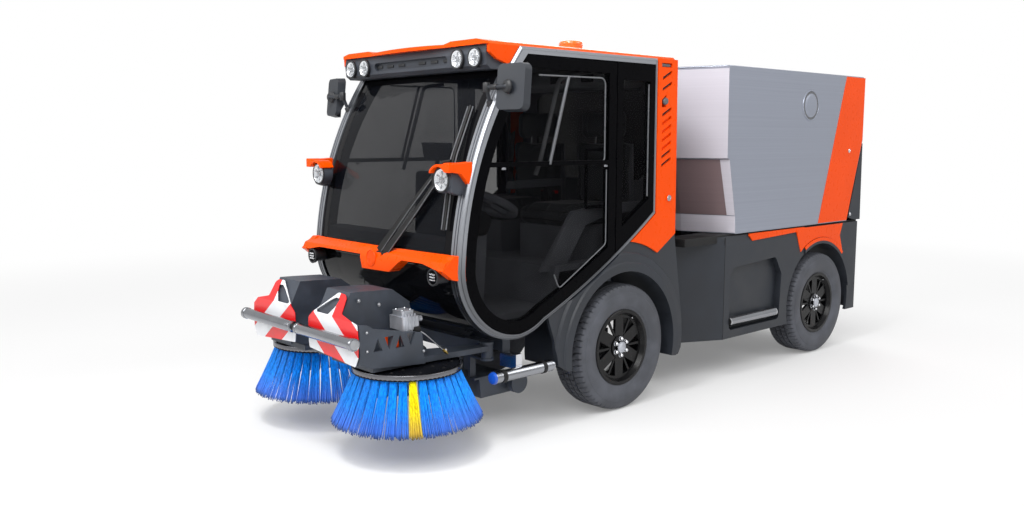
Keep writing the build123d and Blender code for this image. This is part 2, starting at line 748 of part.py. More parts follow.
def front_bar():
    """Bar across the nose: a deep middle, slimmer arms and drooping ends in front of the hoops."""
    arm = (
        (front(-1080), BAR_HIGH_Z),
        (front(-1172), BAR_HIGH_Z),
        (front(-1222), 918),
        (front(-1236), 892),
        (front(-1222), 880),
        (front(-1080), 880),
    )
    keel = (
        (front(-1080), 910),
        (front(-1230), 910),
        (front(-1194), 822),
        (front(-1182), BAR_LOW_Z),
        (front(-1080), BAR_LOW_Z),
    )
    tip = (
        (front(-1100), BAR_HIGH_Z),
        (front(-1172), BAR_HIGH_Z),
        (front(-1244), 886),
        (front(-1180), 838),
        (front(-1100), 824),
    )
    with BuildPart() as bar:
        side_plate(arm, -BAR_HALF, 2 * BAR_HALF)
        with BuildPart(mode=Mode.PRIVATE) as middle:
            side_plate(keel, -220, 440)
            with BuildSketch(Plane.XZ.offset(-front(-1070))):
                with BuildLine():
                    Polyline((-215, 910), (-140, BAR_LOW_Z), (140, BAR_LOW_Z), (215, 910), close=True)
                make_face()
            extrude(amount=300, mode=Mode.INTERSECT)
        add(middle.part)
        for x in (BAR_HALF - 46, -BAR_HALF):
            side_plate(tip, x, 46)
        with BuildSketch(Plane.XZ.offset(-front(-1070))):
            with BuildLine():
                Polyline((-92, 960), (-38, 906), (38, 906), (92, 960), close=True)
            make_face()
        extrude(amount=300, mode=Mode.SUBTRACT)
        for x in (LOW_LAMP_X, -LOW_LAMP_X):
            ahead, behind = (x, front(-1300), LOW_LAMP_Z), (x, front(-1000), LOW_LAMP_Z)
            rod(ahead, behind, LOW_LAMP_R + SEAT_GAP, Mode.SUBTRACT)
        add(cab_envelope(SEAT_GAP), mode=Mode.SUBTRACT)
    write(bar, "front_bar")


def lamp_pods():
    """Visors over the work lamps on the hoops, each wrapping back to the hoop in a wedge."""
    half = LAMP_R + 16
    side = (
        (front(-1222), POD_Z + 42),
        (front(-1205), POD_Z + 60),
        (front(-1090), POD_Z + 84),
        (front(-980), POD_Z + 84),
        (front(-980), POD_Z - 50),
        (front(-1062), POD_Z - 42),
        (front(-1120), POD_Z + 2),
        (front(-1178), POD_Z + 14),
    )
    with BuildPart() as pods:
        side_plate(side, POD_X - half, 2 * half + 32)
        with BuildSketch(Plane.XZ.offset(-front(-900))):
            with Locations((POD_X, POD_Z)):
                Circle(LAMP_R + SEAT_GAP)
            with Locations((POD_X - 20, POD_Z - 60)):
                Rectangle(2 * LAMP_R + 40, 120)
        extrude(amount=400, mode=Mode.SUBTRACT)
        mirror(about=Plane.YZ)
        add(cab_envelope(SEAT_GAP), mode=Mode.SUBTRACT)
        add(bow_round(nose_face(-WIPER_ROOM), BODY_HALF - HOOP_DEPTH - 8), mode=Mode.SUBTRACT)
    write(pods, "lamp_pods")


def mirrors():
    """Mirror heads in front of the doors' swing, each on a bent tube from its hoop."""
    turn = 0.2  # each head looks in towards the driver by this angle
    across = (cos(turn), sin(turn), 0)
    face = Plane(origin=(745, front(-903), 1708), x_dir=across, z_dir=(sin(turn), -cos(turn), 0.1))
    foot = (603, front(-930), 1619)
    bend = (612, front(-966), 1712)
    ball = (745, front(-966), 1712)
    with BuildPart() as heads:
        with BuildSketch(face):
            RectangleRounded(166, 220, 34)
        extrude(amount=44, taper=8)
        rod(foot, bend, 9)
        rod(bend, ball, 9)
        rod(ball, (745, front(-930), 1710), 16)
        with Locations(bend, ball):
            Sphere(12)
        mirror(about=Plane.YZ)
        add(cab_envelope(SEAT_GAP), mode=Mode.SUBTRACT)
    write(heads, "mirrors")


def wiper():
    """Two-armed wiper: base in the bar's notch, parallel arms, and a blade along the screen."""
    elbow = (405, front(-1108), 1299)
    elbow_low = (425, front(-1114), 1262)
    middle = (512, front(-1087), 1376)
    with BuildPart() as arm:
        block(0, front(-1186), 60, 30, 906 + SEAT_GAP, 944)
        rod((0, front(-1200), 930), elbow, 7)
        rod((30, front(-1198), 930), elbow_low, 6)
        rod(elbow, (470, front(-1090), 1376), 8)
        rod(elbow_low, elbow, 7)
        rod((522, front(-1155), 1062), middle, 7)
        rod(middle, (499, front(-966), 1630), 7)
        rod((470, front(-1090), 1376), middle, 8)
    write(arm, "wiper")


def seats():
    """Two seats: cushion, back and head rest, each one padded block."""
    with BuildPart() as pair:
        with BuildSketch(Plane.XY.offset(SEAT_SHELF_Z + 180 + SEAT_GAP)):
            with Locations((SEAT_X, front(-60))):
                RectangleRounded(470, 480, 60)
        extrude(amount=110)
        with BuildSketch(Plane.XY.offset(SEAT_SHELF_Z + 240)):
            with Locations((SEAT_X, front(220))):
                RectangleRounded(450, 110, 40)
        extrude(amount=560)
        with BuildSketch(Plane.XY.offset(SEAT_SHELF_Z + 800)):
            with Locations((SEAT_X, front(225))):
                RectangleRounded(260, 90, 40)
        extrude(amount=190)
        mirror(about=Plane.YZ)
    write(pair, "seats")


def dashboard():
    """Cowl behind the front bar with the driver's console, and the steering wheel on its column."""
    half = BODY_HALF - HOOP_DEPTH - SEAT_GAP
    with BuildPart() as dash:
        cowl = (
            (front(-1120), 900),
            (front(-985), 900),
            (front(-960), 960),
            (front(-1030), 1010),
            (front(-1112), 1000),
        )
        side_plate(cowl, -half, 2 * half)
        console = (
            (front(-1000), 905),
            (front(-900), FLOOR_Z + SHEET + SEAT_GAP),
            (front(-800), FLOOR_Z + SHEET + SEAT_GAP),
            (front(-770), 1060),
            (front(-930), 1110),
            (front(-1020), 1010),
        )
        side_plate(console, 160, 230)
    write(dash, "dashboard")
    tilt = Plane(origin=(SEAT_X, front(-700), 1150), z_dir=(0, 0.42, 0.91))
    with BuildPart() as wheel:
        with BuildSketch(tilt):
            Circle(185)
            Circle(163, mode=Mode.SUBTRACT)
            Rectangle(340, 30)
            Circle(45)
        extrude(amount=22)
        with BuildSketch(tilt):
            Circle(22)
        extrude(amount=-120)
        add(dash.part, mode=Mode.SUBTRACT)
        biggest = wheel.part.solids().sort_by(SortBy.VOLUME)[-1]
    with BuildPart() as whole:
        add(biggest)
    write(whole, "steering_wheel")


def front_fenders():
    """Moulded front arches: a turned lip with stepped flanks round the wheel, and its liner."""
    outline = (
        (front(-565), 572),
        (front(-526), 464),
        (front(-505), 330),
        (front(-440), 290),
        (front(0), 300),
        (front(440), 235),
        (front(481), 235),
        (front(520), 293),
        (front(526), 421),
        (front(440), 940),
        (front(0), 1000),
        (front(-600), 700),
    )
    ring = (
        (LINER_X, ARCH_R),
        (LIP_HALF, ARCH_R),
        (LIP_HALF, ARCH_R + 44),
        (LIP_HALF - 9, ARCH_R + 52),
        (LIP_HALF - 12, ARCH_R + 92),
        (LIP_HALF - 24, ARCH_R + 104),
        (LIP_HALF - 24, 900),
        (LIP_HALF - 24 - PANEL, 900),
        (LIP_HALF - 24 - PANEL, ARCH_R + 96),
        (LIP_HALF - 12 - PANEL, ARCH_R + 84),
        (LIP_HALF - PANEL, ARCH_R + 12),
        (LINER_X, ARCH_R + 12),
    )
    with BuildPart() as turned:
        with BuildSketch(Plane.XY):
            with BuildLine():
                Polyline(*ring, close=True)
            make_face()
        revolve(axis=Axis.X)
    with BuildPart() as fender:
        add(turned.part.moved(Location((0, FRONT_AXLE_Y, TYRE_R))))
        side_plate(outline, LINER_X - 10, 500, Mode.INTERSECT)
        with BuildSketch(Plane.YZ.offset(LINER_X - 10)):
            with BuildLine():
                Polyline(
                    (front(275), 846 - 1),
                    (front(438), 947 - 1),
                    (front(600), 1100),
                    (front(-60), 1100),
                    (front(-60), 925 - 1),
                    (front(40), 925 - 1),
                )
                ThreePointArc((front(40), 924), (front(165), 896), (front(275), 845))
            make_face()
            add(side_face(OUTER, -SEAT_GAP))
        extrude(amount=500, mode=Mode.SUBTRACT)
        mirror(about=Plane.YZ)
    write(fender, "front_fenders")


def rear_arch():
    """The rear wheel's opening in the panels, a little lower than a true circle about the hub."""
    with BuildSketch(Plane.YZ.offset(BODY_HALF - 180)) as opening:
        with Locations((REAR_AXLE_Y, TYRE_R + 10)):
            Circle(ARCH_R - 15)
        with Locations((REAR_AXLE_Y, TYRE_R - 300)):
            Rectangle(2 * ARCH_R - 60, 600)
    extrude(opening.sketch, amount=250, mode=Mode.SUBTRACT)


def side_skirts():
    """Skirts between the axles: a raking front facet, a recessed pocket and a bevelled shoulder."""
    seam = rear(-205)
    with BuildPart() as skirt:
        with BuildSketch(Plane.XY.offset(SKIRT_LOW)):
            with BuildLine():
                Polyline(
                    (440, front(532)),
                    (BODY_HALF, front(930)),
                    (BODY_HALF, seam),
                    (BODY_HALF - PANEL, seam),
                    (BODY_HALF - PANEL, front(935)),
                    (440, front(562)),
                    close=True,
                )
            make_face()
        extrude(amount=SKIRT_TOP - SKIRT_LOW)
        shoulder = skirt.edges().filter_by(Axis.Y).filter_by(lambda e: e.center().X > BODY_HALF - 1)
        chamfer(shoulder.sort_by(Axis.Z)[-1], length=58, length2=13)
        with BuildSketch(Plane.XY, mode=Mode.PRIVATE) as pocket:
            with BuildLine():
                Polyline(
                    (front(990), 300),
                    (front(990), 640),
                    (front(1030), 690),
                    (front(1500), 715),
                    (front(1575), 600),
                    (front(1555), 300),
                    close=True,
                )
            make_face()
            fillet(pocket.vertices(), 30)
        with BuildSketch(Plane.YZ.offset(POCKET_X - 12)):
            add(pocket.sketch)
            offset(amount=10)
        extrude(amount=BODY_HALF - PANEL + 1 - POCKET_X + 12)
        with BuildSketch(Plane.YZ.offset(POCKET_X)):
            add(pocket.sketch)
        extrude(amount=100, mode=Mode.SUBTRACT)
        rear_arch()
        mirror(about=Plane.YZ)
    write(skirt, "side_skirts")


def rear_fenders():
    """Rear quarter panels with turned arch lips and liners over the wheels."""
    seam = rear(-205)
    with BuildPart() as fender:
        with BuildSketch(Plane.XY.offset(SKIRT_LOW)):
            with BuildLine():
                Polyline(
                    (BODY_HALF, seam + 3),
                    (BODY_HALF, rear(515)),
                    (BODY_HALF - 40, rear(550)),
                    (420, rear(550)),
                    (420, rear(550) - PANEL),
                    (BODY_HALF - 50, rear(550) - PANEL),
                    (BODY_HALF - PANEL, rear(500)),
                    (BODY_HALF - PANEL, seam + 3),
                    close=True,
                )
            make_face()
        extrude(amount=SKIRT_TOP - SKIRT_LOW)
        with BuildSketch(Plane.YZ.offset(BODY_HALF - PANEL)):
            with Locations((REAR_AXLE_Y, TYRE_R + 10)):
                Circle(ARCH_R + 26)
            with Locations((REAR_AXLE_Y, TYRE_R - 300)):
                Rectangle(1200, 760, mode=Mode.SUBTRACT)
            with Locations((seam - 400, 600)):
                Rectangle(806, 900, mode=Mode.SUBTRACT)
        extrude(amount=PANEL + 9)
        rear_arch()
        with BuildSketch(Plane.YZ.offset(LINER_X)):
            with Locations((REAR_AXLE_Y, TYRE_R + 10)):
                Circle(ARCH_R - 3)
                Circle(ARCH_R - 15, mode=Mode.SUBTRACT)
            with Locations((REAR_AXLE_Y, TYRE_R - 500)):
                Rectangle(1200, 1000, mode=Mode.SUBTRACT)
        extrude(amount=BODY_HALF - PANEL - SEAT_GAP - LINER_X)
        mirror(about=Plane.YZ)
    write(fender, "rear_fenders")


def rear_end():
    """Bumper beam between the rear fenders and the upright rear lamps on them."""
    with BuildPart() as bumper:
        block(0, rear(530), 2 * (420 - SEAT_GAP), 38, 330, 510)
    write(bumper, "rear_bumper")
    with BuildPart() as lights:
        with BuildSketch(Plane.XZ.offset(-rear(550) - SEAT_GAP - 22)):
            with Locations((505, 640), (-505, 640)):
                RectangleRounded(110, 240, 20)
        extrude(amount=22)
    write(lights, "rear_lamps")


def side_rollers():
    """Steel guard rollers ahead of the front wheels and low on the skirts."""
    with BuildPart() as rollers:
        rod((600, front(-923), 332), (600, front(-523), 332), 29)
        block(530, front(-740), 120, 40, RAIL_LOW - 74, RAIL_LOW - SEAT_GAP)
        rod((LIP_HALF - 27, front(1000), 352), (LIP_HALF - 27, front(1520), 352), 27)
        with BuildSketch(Plane.YZ.offset(POCKET_X + SEAT_GAP)):
            with Locations((front(1090), 352), (front(1430), 352)):
                Rectangle(60, 40)
        extrude(amount=20)
        mirror(about=Plane.YZ)
    write(rollers, "side_rollers")


# ---------------------------------------------------------------- sweeping gear
def brush_carrier():
    """Carrier that slides on the frame's posts, with the arms' pivot pins and the mouth's hangers."""
    with BuildPart() as carrier:
        block(0, BEAM_Y - 98, 820, 36, CARRIER_LOW, CARRIER_HIGH)
        for x in (POST_X, -POST_X):
            block(x, BEAM_Y - 56, 76, 50, CARRIER_LOW, CARRIER_HIGH)
            slot = 2 * SEAT_GAP
            block(x, BEAM_Y - 55, 50 + slot, 12 + slot, CARRIER_LOW, CARRIER_HIGH, Mode.SUBTRACT)
            block(x, BEAM_Y - 40, 20 + slot, 20, CARRIER_LOW, CARRIER_HIGH, Mode.SUBTRACT)
        for side in (1, -1):
            for low in (CARRIER_LOW - 12, CARRIER_HIGH):
                disc(side * PIVOT_X, PIVOT_Y, 34, low, low + 12)
                block(side * (PIVOT_X - 70), PIVOT_Y + 4, 140, 60, low, low + 12)
            disc(side * PIVOT_X, PIVOT_Y, PIVOT_R, CARRIER_LOW - 12, CARRIER_HIGH + 12)
            block(side * 337, BEAM_Y - 98, 16, 36, MOUTH_HIGH + SEAT_GAP, CARRIER_LOW)
    write(carrier, "brush_carrier")


def suction_mouth():
    """Hollow suction mouth under the nose with its castors."""
    with BuildPart() as mouth:
        profile = (
            (front(-810), MOUTH_LOW),
            (front(-590), MOUTH_LOW),
            (front(-590), MOUTH_HIGH - 40),
            (front(-640), MOUTH_HIGH),
            (front(-852), MOUTH_HIGH),
            (front(-852), MOUTH_HIGH - 10),
            (front(-820), MOUTH_HIGH - 10),
        )
        side_plate(profile, -380, 760)
        block(0, front(-702), 730, 186, MOUTH_LOW, MOUTH_HIGH - 50, Mode.SUBTRACT)
        for side in (1, -1):
            rod((side * 413, front(-603), 223), (side * 447, front(-603), 223), 55)
            rod((side * 370, front(-603), 223), (side * 413, front(-603), 223), 14)
    write(mouth, "suction_mouth")


def brush_arm():
    """Arm: pivot barrel and plate, cut-out side plates, bent top cover and the guard roller."""
    near = BRUSH_X - 250
    far = BRUSH_X + 95
    front_wall = PANEL_Y + PANEL_T + SEAT_GAP
    flank = (
        (front_wall, 500),
        (front_wall + 3, 668),
        (front(-1536), 782),
        (front(-1470), 778),
        (front(-1306), 770),
        (front(-1210), 698),
        (front(-1190), 640),
        (front(-1190), ARM_Z),
        (front(-1256), ARM_Z),
        (front(-1530), 470),
    )
    cover = (
        (front_wall, 484),
        (front_wall + 3, 668),
        (front(-1536), 786),
        (front(-1470), 784),
        (front(-1306), 776),
        (front(-1204), 704),
        (front(-1212), 698),
        (front(-1308), 768),
        (front(-1470), 776),
        (front(-1530), 776),
        (front_wall + 11, 664),
        (front_wall + 8, 484),
    )
    outer = (
        (front_wall, 490),
        (front_wall, 666),
        (front(-1551), 660),
        (front(-1520), 640),
        (front(-1256), 588),
        (front(-1240), ARM_Z),
        (front(-1530), 462),
    )
    with BuildPart() as arm:
        disc(PIVOT_X, PIVOT_Y, 30, CARRIER_LOW + 1, CARRIER_HIGH - 1)
        with BuildSketch(Plane.XY.offset(ARM_Z)):
            with BuildLine():
                Polyline(
                    (PIVOT_X - 28, PIVOT_Y - 10),
                    (PIVOT_X + 28, PIVOT_Y - 10),
                    (far, BRUSH_Y + 60),
                    (far, front(-1520)),
                    (near, front(-1520)),
                    (near, BRUSH_Y + 60),
                    (BRUSH_X - 60, BRUSH_Y + 100),
                    close=True,
                )
            make_face()
        extrude(amount=ARM_T)
        disc(PIVOT_X, PIVOT_Y, PIVOT_R + SEAT_GAP, CARRIER_LOW + 1, CARRIER_HIGH - 1, Mode.SUBTRACT)
        side_plate(cover, near, 200)
        side_plate(flank, near, 10)
        side_plate(flank, near + 190, 10)
        side_plate(outer, far, 16)
        wall = ((front_wall, 484), (front_wall, 666), (front_wall + 8, 666), (front_wall + 8, 484))
        side_plate(wall, near, far + 16 - near)
        for y, lean in ((-1500, 1), (-1440, -1), (-1380, 1), (-1320, -1)):
            base = 566 - 30 * lean
            hole = ((front(y - 24), base), (front(y + 24), base), (front(y), base + 60 * lean))
            side_plate(hole, far - 2, 20, Mode.SUBTRACT)
        rod((20, ROLLER_Y, ROLLER_Z), (510, ROLLER_Y, ROLLER_Z), ROLLER_R)
        for x in (110, 440):
            block(x, (ROLLER_Y + front_wall) / 2, 24, front_wall - ROLLER_Y, ROLLER_Z - 12, ROLLER_Z + 12)
    return arm


def warning_panel():
    """Warning panel: upright below, leaning back to a peak above, with a three-cornered hole."""
    profile = (
        (PANEL_Y, 470),
        (PANEL_Y, 676),
        (front(-1540), 800),
        (front(-1540) + PANEL_T, 800),
        (PANEL_Y + PANEL_T, 673),
        (PANEL_Y + PANEL_T, 470),
    )
    with BuildPart() as panel:
        side_plate(profile, 40, 460)
        with BuildSketch(Plane.XZ.offset(-front(-1500))):
            with BuildLine():
                Polyline(
                    (63, 500),
                    (478, 484),
                    (486, 676),
                    (330, 704),
                    (296, 795),
                    (246, 795),
                    (110, 715),
                    (63, 644),
                    close=True,
                )
            make_face()
            with BuildLine():
                Polyline((158, 687), (250, 690), (292, 768), (236, 762), close=True)
            make_face(mode=Mode.SUBTRACT)
            with Locations((110, ROLLER_Z), (440, ROLLER_Z)):
                Rectangle(24 + 2, 24 + 2, mode=Mode.SUBTRACT)
        extrude(amount=200, mode=Mode.INTERSECT)
    return panel


def brush_motor():
    """Hydraulic motor on the arm over the brush, with its flange, valve block and two ports."""
    low = ARM_Z + ARM_T + SEAT_GAP
    with BuildPart() as motor:
        disc(BRUSH_X + 20, BRUSH_Y, 50, low, low + 16)
        disc(BRUSH_X + 20, BRUSH_Y, 38, low + 16, 600)
        with BuildSketch(Plane.XY.offset(600)):
            with Locations((BRUSH_X + 20, front(-1290))):
                RectangleRounded(116, 96, 12)
        extrude(amount=62)
        with BuildSketch(Plane.XY.offset(662)):
            with Locations((BRUSH_X + 20, front(-1296))):
                RectangleRounded(84, 70, 10)
        extrude(amount=26)
        for x in (BRUSH_X, BRUSH_X + 44):
            rod((x, front(-1300), 640), (x, front(-1212), 640), 13)
    return motor


def brush_plate():
    """Brush plate: a rimmed disc with a hub under the arm."""
    with BuildPart() as plate:
        disc(BRUSH_X, BRUSH_Y, PLATE_R, PLATE_TOP - PLATE_T, PLATE_TOP - 8)
        chamfer(plate.faces().sort_by(Axis.Z)[-1].edges(), 5)
        disc(BRUSH_X, BRUSH_Y, PLATE_R - 16, PLATE_TOP - 8, PLATE_TOP)
        disc(BRUSH_X, BRUSH_Y, 46, PLATE_TOP, ARM_Z - SEAT_GAP)
    return plate


def brush_bristles():
    """Flared ring of bristles under the plate."""
    top = PLATE_TOP - PLATE_T - SEAT_GAP
    with BuildPart() as bristles:
        with BuildSketch(Plane.XZ):
            with BuildLine():
                Polyline(
                    (PLATE_R - 60, top),
                    (PLATE_R - 8, top),
                    (BRUSH_TIP_R, BRUSH_TIP_Z + 14),
                    (BRUSH_TIP_R - 40, BRUSH_TIP_Z),
                    close=True,
                )
            make_face()
        revolve(axis=Axis.Z)
    with BuildPart() as placed:
        add(bristles.part.moved(Location((BRUSH_X, BRUSH_Y, 0))))
    return placed


def side_brushes():
    write_pair(brush_arm(), "brush_arm")
    write_pair(warning_panel(), "warning_panel")
    write_pair(brush_motor(), "brush_motor")
    write_pair(brush_plate(), "brush_plate")
    write_pair(brush_bristles(), "brush_bristles")


# ---------------------------------------------------------------- hopper
def hopper_loft(wall):
    """Hopper shape drawn in by a wall: faceted front, stepped and raking toe, flat back."""
    half = HOPPER_HALF - wall
    back = HOPPER_REAR - wall
    levels = (
        (HOPPER_LOW + wall, HOPPER_FRONT + 104 + wall),
        (1009.0, HOPPER_FRONT + 95 + wall),
        (STEP_Z - 2, HOPPER_FRONT + 22 + wall),
        (STEP_Z, HOPPER_FRONT + wall),
        (HOPPER_TOP - wall, HOPPER_FRONT - 6 + wall),
    )
    with BuildPart() as solid:
        for z, y in levels:
            with BuildSketch(Plane.XY.offset(z)):
                with BuildLine():
                    Polyline((-half, back), (-half, y), (-300, y - 105), (300, y - 105))
                    Polyline((300, y - 105), (half, y), (half, back), (-half, back))
                make_face()
        loft(ruled=True)
    return solid.part


def hopper_body():
    """Hollow stainless hopper with its tipping lugs, lift ears and the hatch's hinge cheeks."""
    outlet = (
        (HOPPER_REAR + 1, HATCH_TOP),
        (HATCH_FOOT, HOPPER_LOW),
        (HATCH_FOOT - 20, HOPPER_LOW - 60),
        (HOPPER_REAR + 60, HOPPER_LOW - 60),
        (HOPPER_REAR + 60, HATCH_TOP),
    )
    lug = (
        (HATCH_FOOT - 160, HOPPER_LOW),
        (HATCH_FOOT - 5, HOPPER_LOW),
        (HATCH_FOOT + 15, TIP_Z + TIP_EAR_R),
        (TIP_Y, TIP_Z + TIP_EAR_R),
        (TIP_Y, TIP_Z - TIP_EAR_R),
        (HATCH_FOOT - 100, TIP_Z - TIP_EAR_R),
    )
    lug_x = TIP_EAR_X - 5 - 16
    with BuildPart() as body:
        add(hopper_loft(0))
        add(hopper_loft(HOPPER_WALL), mode=Mode.SUBTRACT)
        side_plate(outlet, -700, 1400, Mode.SUBTRACT)
        for x in (400, 0):
            for cheek in (x - 32, x + 24):
                side_plate(
                    (
                        (HOPPER_REAR - 2, HATCH_PIN_Z + 20),
                        (HOPPER_REAR - 2, HATCH_PIN_Z + 70),
                        (HATCH_PIN_Y + 12, HATCH_PIN_Z + 14),
                        (HATCH_PIN_Y + 12, HATCH_PIN_Z - 10),
                        (HATCH_PIN_Y - 12, HATCH_PIN_Z - 10),
                    ),
                    cheek,
                    EAR_T,
                )
            rod((x - 28, HATCH_PIN_Y, HATCH_PIN_Z), (x + 28, HATCH_PIN_Y, HATCH_PIN_Z), HATCH_PIN_R)
        side_plate(lug, lug_x, 16)
        rod((lug_x, TIP_Y, TIP_Z), (lug_x + 16, TIP_Y, TIP_Z), TIP_EAR_R)
        rod((lug_x, TIP_Y, TIP_Z), (lug_x + 41, TIP_Y, TIP_Z), TIP_PIN_R)
        for x in (LIFT_X - EYE_HALF - 1 - EAR_T, LIFT_X + EYE_HALF + 1):
            block(x + EAR_T / 2, EYE_Y, EAR_T, 90, HOPPER_LOW - 66, HOPPER_LOW + 2)
        mirror(about=Plane.YZ)
    write(body, "hopper_body")


def hopper_hatch():
    """Hollow wedge hatch at the back, hung from its top edge, its foot cut to the swing's radius."""
    swing_r = HATCH_PIN_Z - SKIRT_TOP - 7
    with BuildPart() as hatch:
        for wall in (0, PANEL):
            wedge = (
                (HOPPER_REAR + 2 - 0.3 * wall, HATCH_TOP - 26 - 4 * wall),
                (HATCH_FOOT + 14 - 5 * wall, HOPPER_LOW + wall),
                (HOPPER_REAR + 11 - wall, HOPPER_LOW + wall),
            )
            inner = HOPPER_HALF - wall
            side_plate(wedge, -inner, 2 * inner, Mode.SUBTRACT if wall else Mode.ADD)
        for x in (400, 0, -400):
            rod((x - 22, HATCH_PIN_Y, HATCH_PIN_Z), (x + 22, HATCH_PIN_Y, HATCH_PIN_Z), HATCH_KNUCKLE_R)
            side_plate(
                (
                    (HOPPER_REAR - 2, HATCH_TOP - 90),
                    (HATCH_PIN_Y + 2, HATCH_TOP - 90),
                    (HATCH_PIN_Y + 12, HATCH_PIN_Z),
                    (HATCH_PIN_Y - 6, HATCH_PIN_Z),
                    (HOPPER_REAR - 2, HATCH_TOP - 42),
                ),
                x - 22,
                44,
            )
        with BuildSketch(Plane.YZ.offset(-700)):
            with Locations((HATCH_PIN_Y, HATCH_PIN_Z)):
                Circle(swing_r)
                Circle(HATCH_PIN_R + SEAT_GAP, mode=Mode.SUBTRACT)
        extrude(amount=1400, mode=Mode.INTERSECT)
    write(hatch, "hopper_hatch")


def lift_cylinders():
    """Pair of lift cylinders: barrels hinged on the frame and rods with an eye at the hopper."""
    length = hypot(EYE_Y - BARREL_Y, EYE_Z - BARREL_Z)
    slope = atan2(EYE_Z - BARREL_Z, EYE_Y - BARREL_Y)
    along = Plane(origin=(LIFT_X, BARREL_Y, BARREL_Z), x_dir=(1, 0, 0), z_dir=(0, cos(slope), sin(slope)))
    with BuildPart() as barrel:
        rod((LIFT_X - EYE_HALF, BARREL_Y, BARREL_Z), (LIFT_X + EYE_HALF, BARREL_Y, BARREL_Z), EYE_R)
        with BuildSketch(along):
            Circle(ROD_R)
        extrude(amount=44)
        with BuildSketch(along.offset(40)):
            Circle(BARREL_R)
        extrude(amount=14)
        with BuildSketch(along.offset(54)):
            Circle(BARREL_R)
            Circle(ROD_R + SEAT_GAP, mode=Mode.SUBTRACT)
        extrude(amount=length - 54 - 60)
        with BuildSketch(Plane.YZ.offset(LIFT_X - 60)):
            with Locations((BARREL_Y, BARREL_Z)):
                Circle(10 + SEAT_GAP)
        extrude(amount=120, mode=Mode.SUBTRACT)
        mirror(about=Plane.YZ)
    write(barrel, "tip_cylinders")
    with BuildPart() as piston:
        with BuildSketch(along.offset(90)):
            Circle(ROD_R)
        extrude(amount=length - 90)
        rod((LIFT_X - EYE_HALF, EYE_Y, EYE_Z), (LIFT_X + EYE_HALF, EYE_Y, EYE_Z), EYE_R)
        mirror(about=Plane.YZ)
    write(piston, "tip_rods")


wheel_set()
chassis_frame()
engine_block()
cab_tub()
cab_hoops()
roof()
light_bar()
lamps()
beacon()
windscreens()
doors()
side_frames()
rear_pillars()
front_bar()
lamp_pods()
mirrors()
wiper()
seats()
dashboard()
front_fenders()
side_skirts()
rear_fenders()
rear_end()
side_rollers()
brush_carrier()
suction_mouth()
side_brushes()
hopper_body()
hopper_hatch()
lift_cylinders()
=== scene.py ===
"""Looks of a compact street sweeper: finishes for its frame, its modelled details and a studio."""

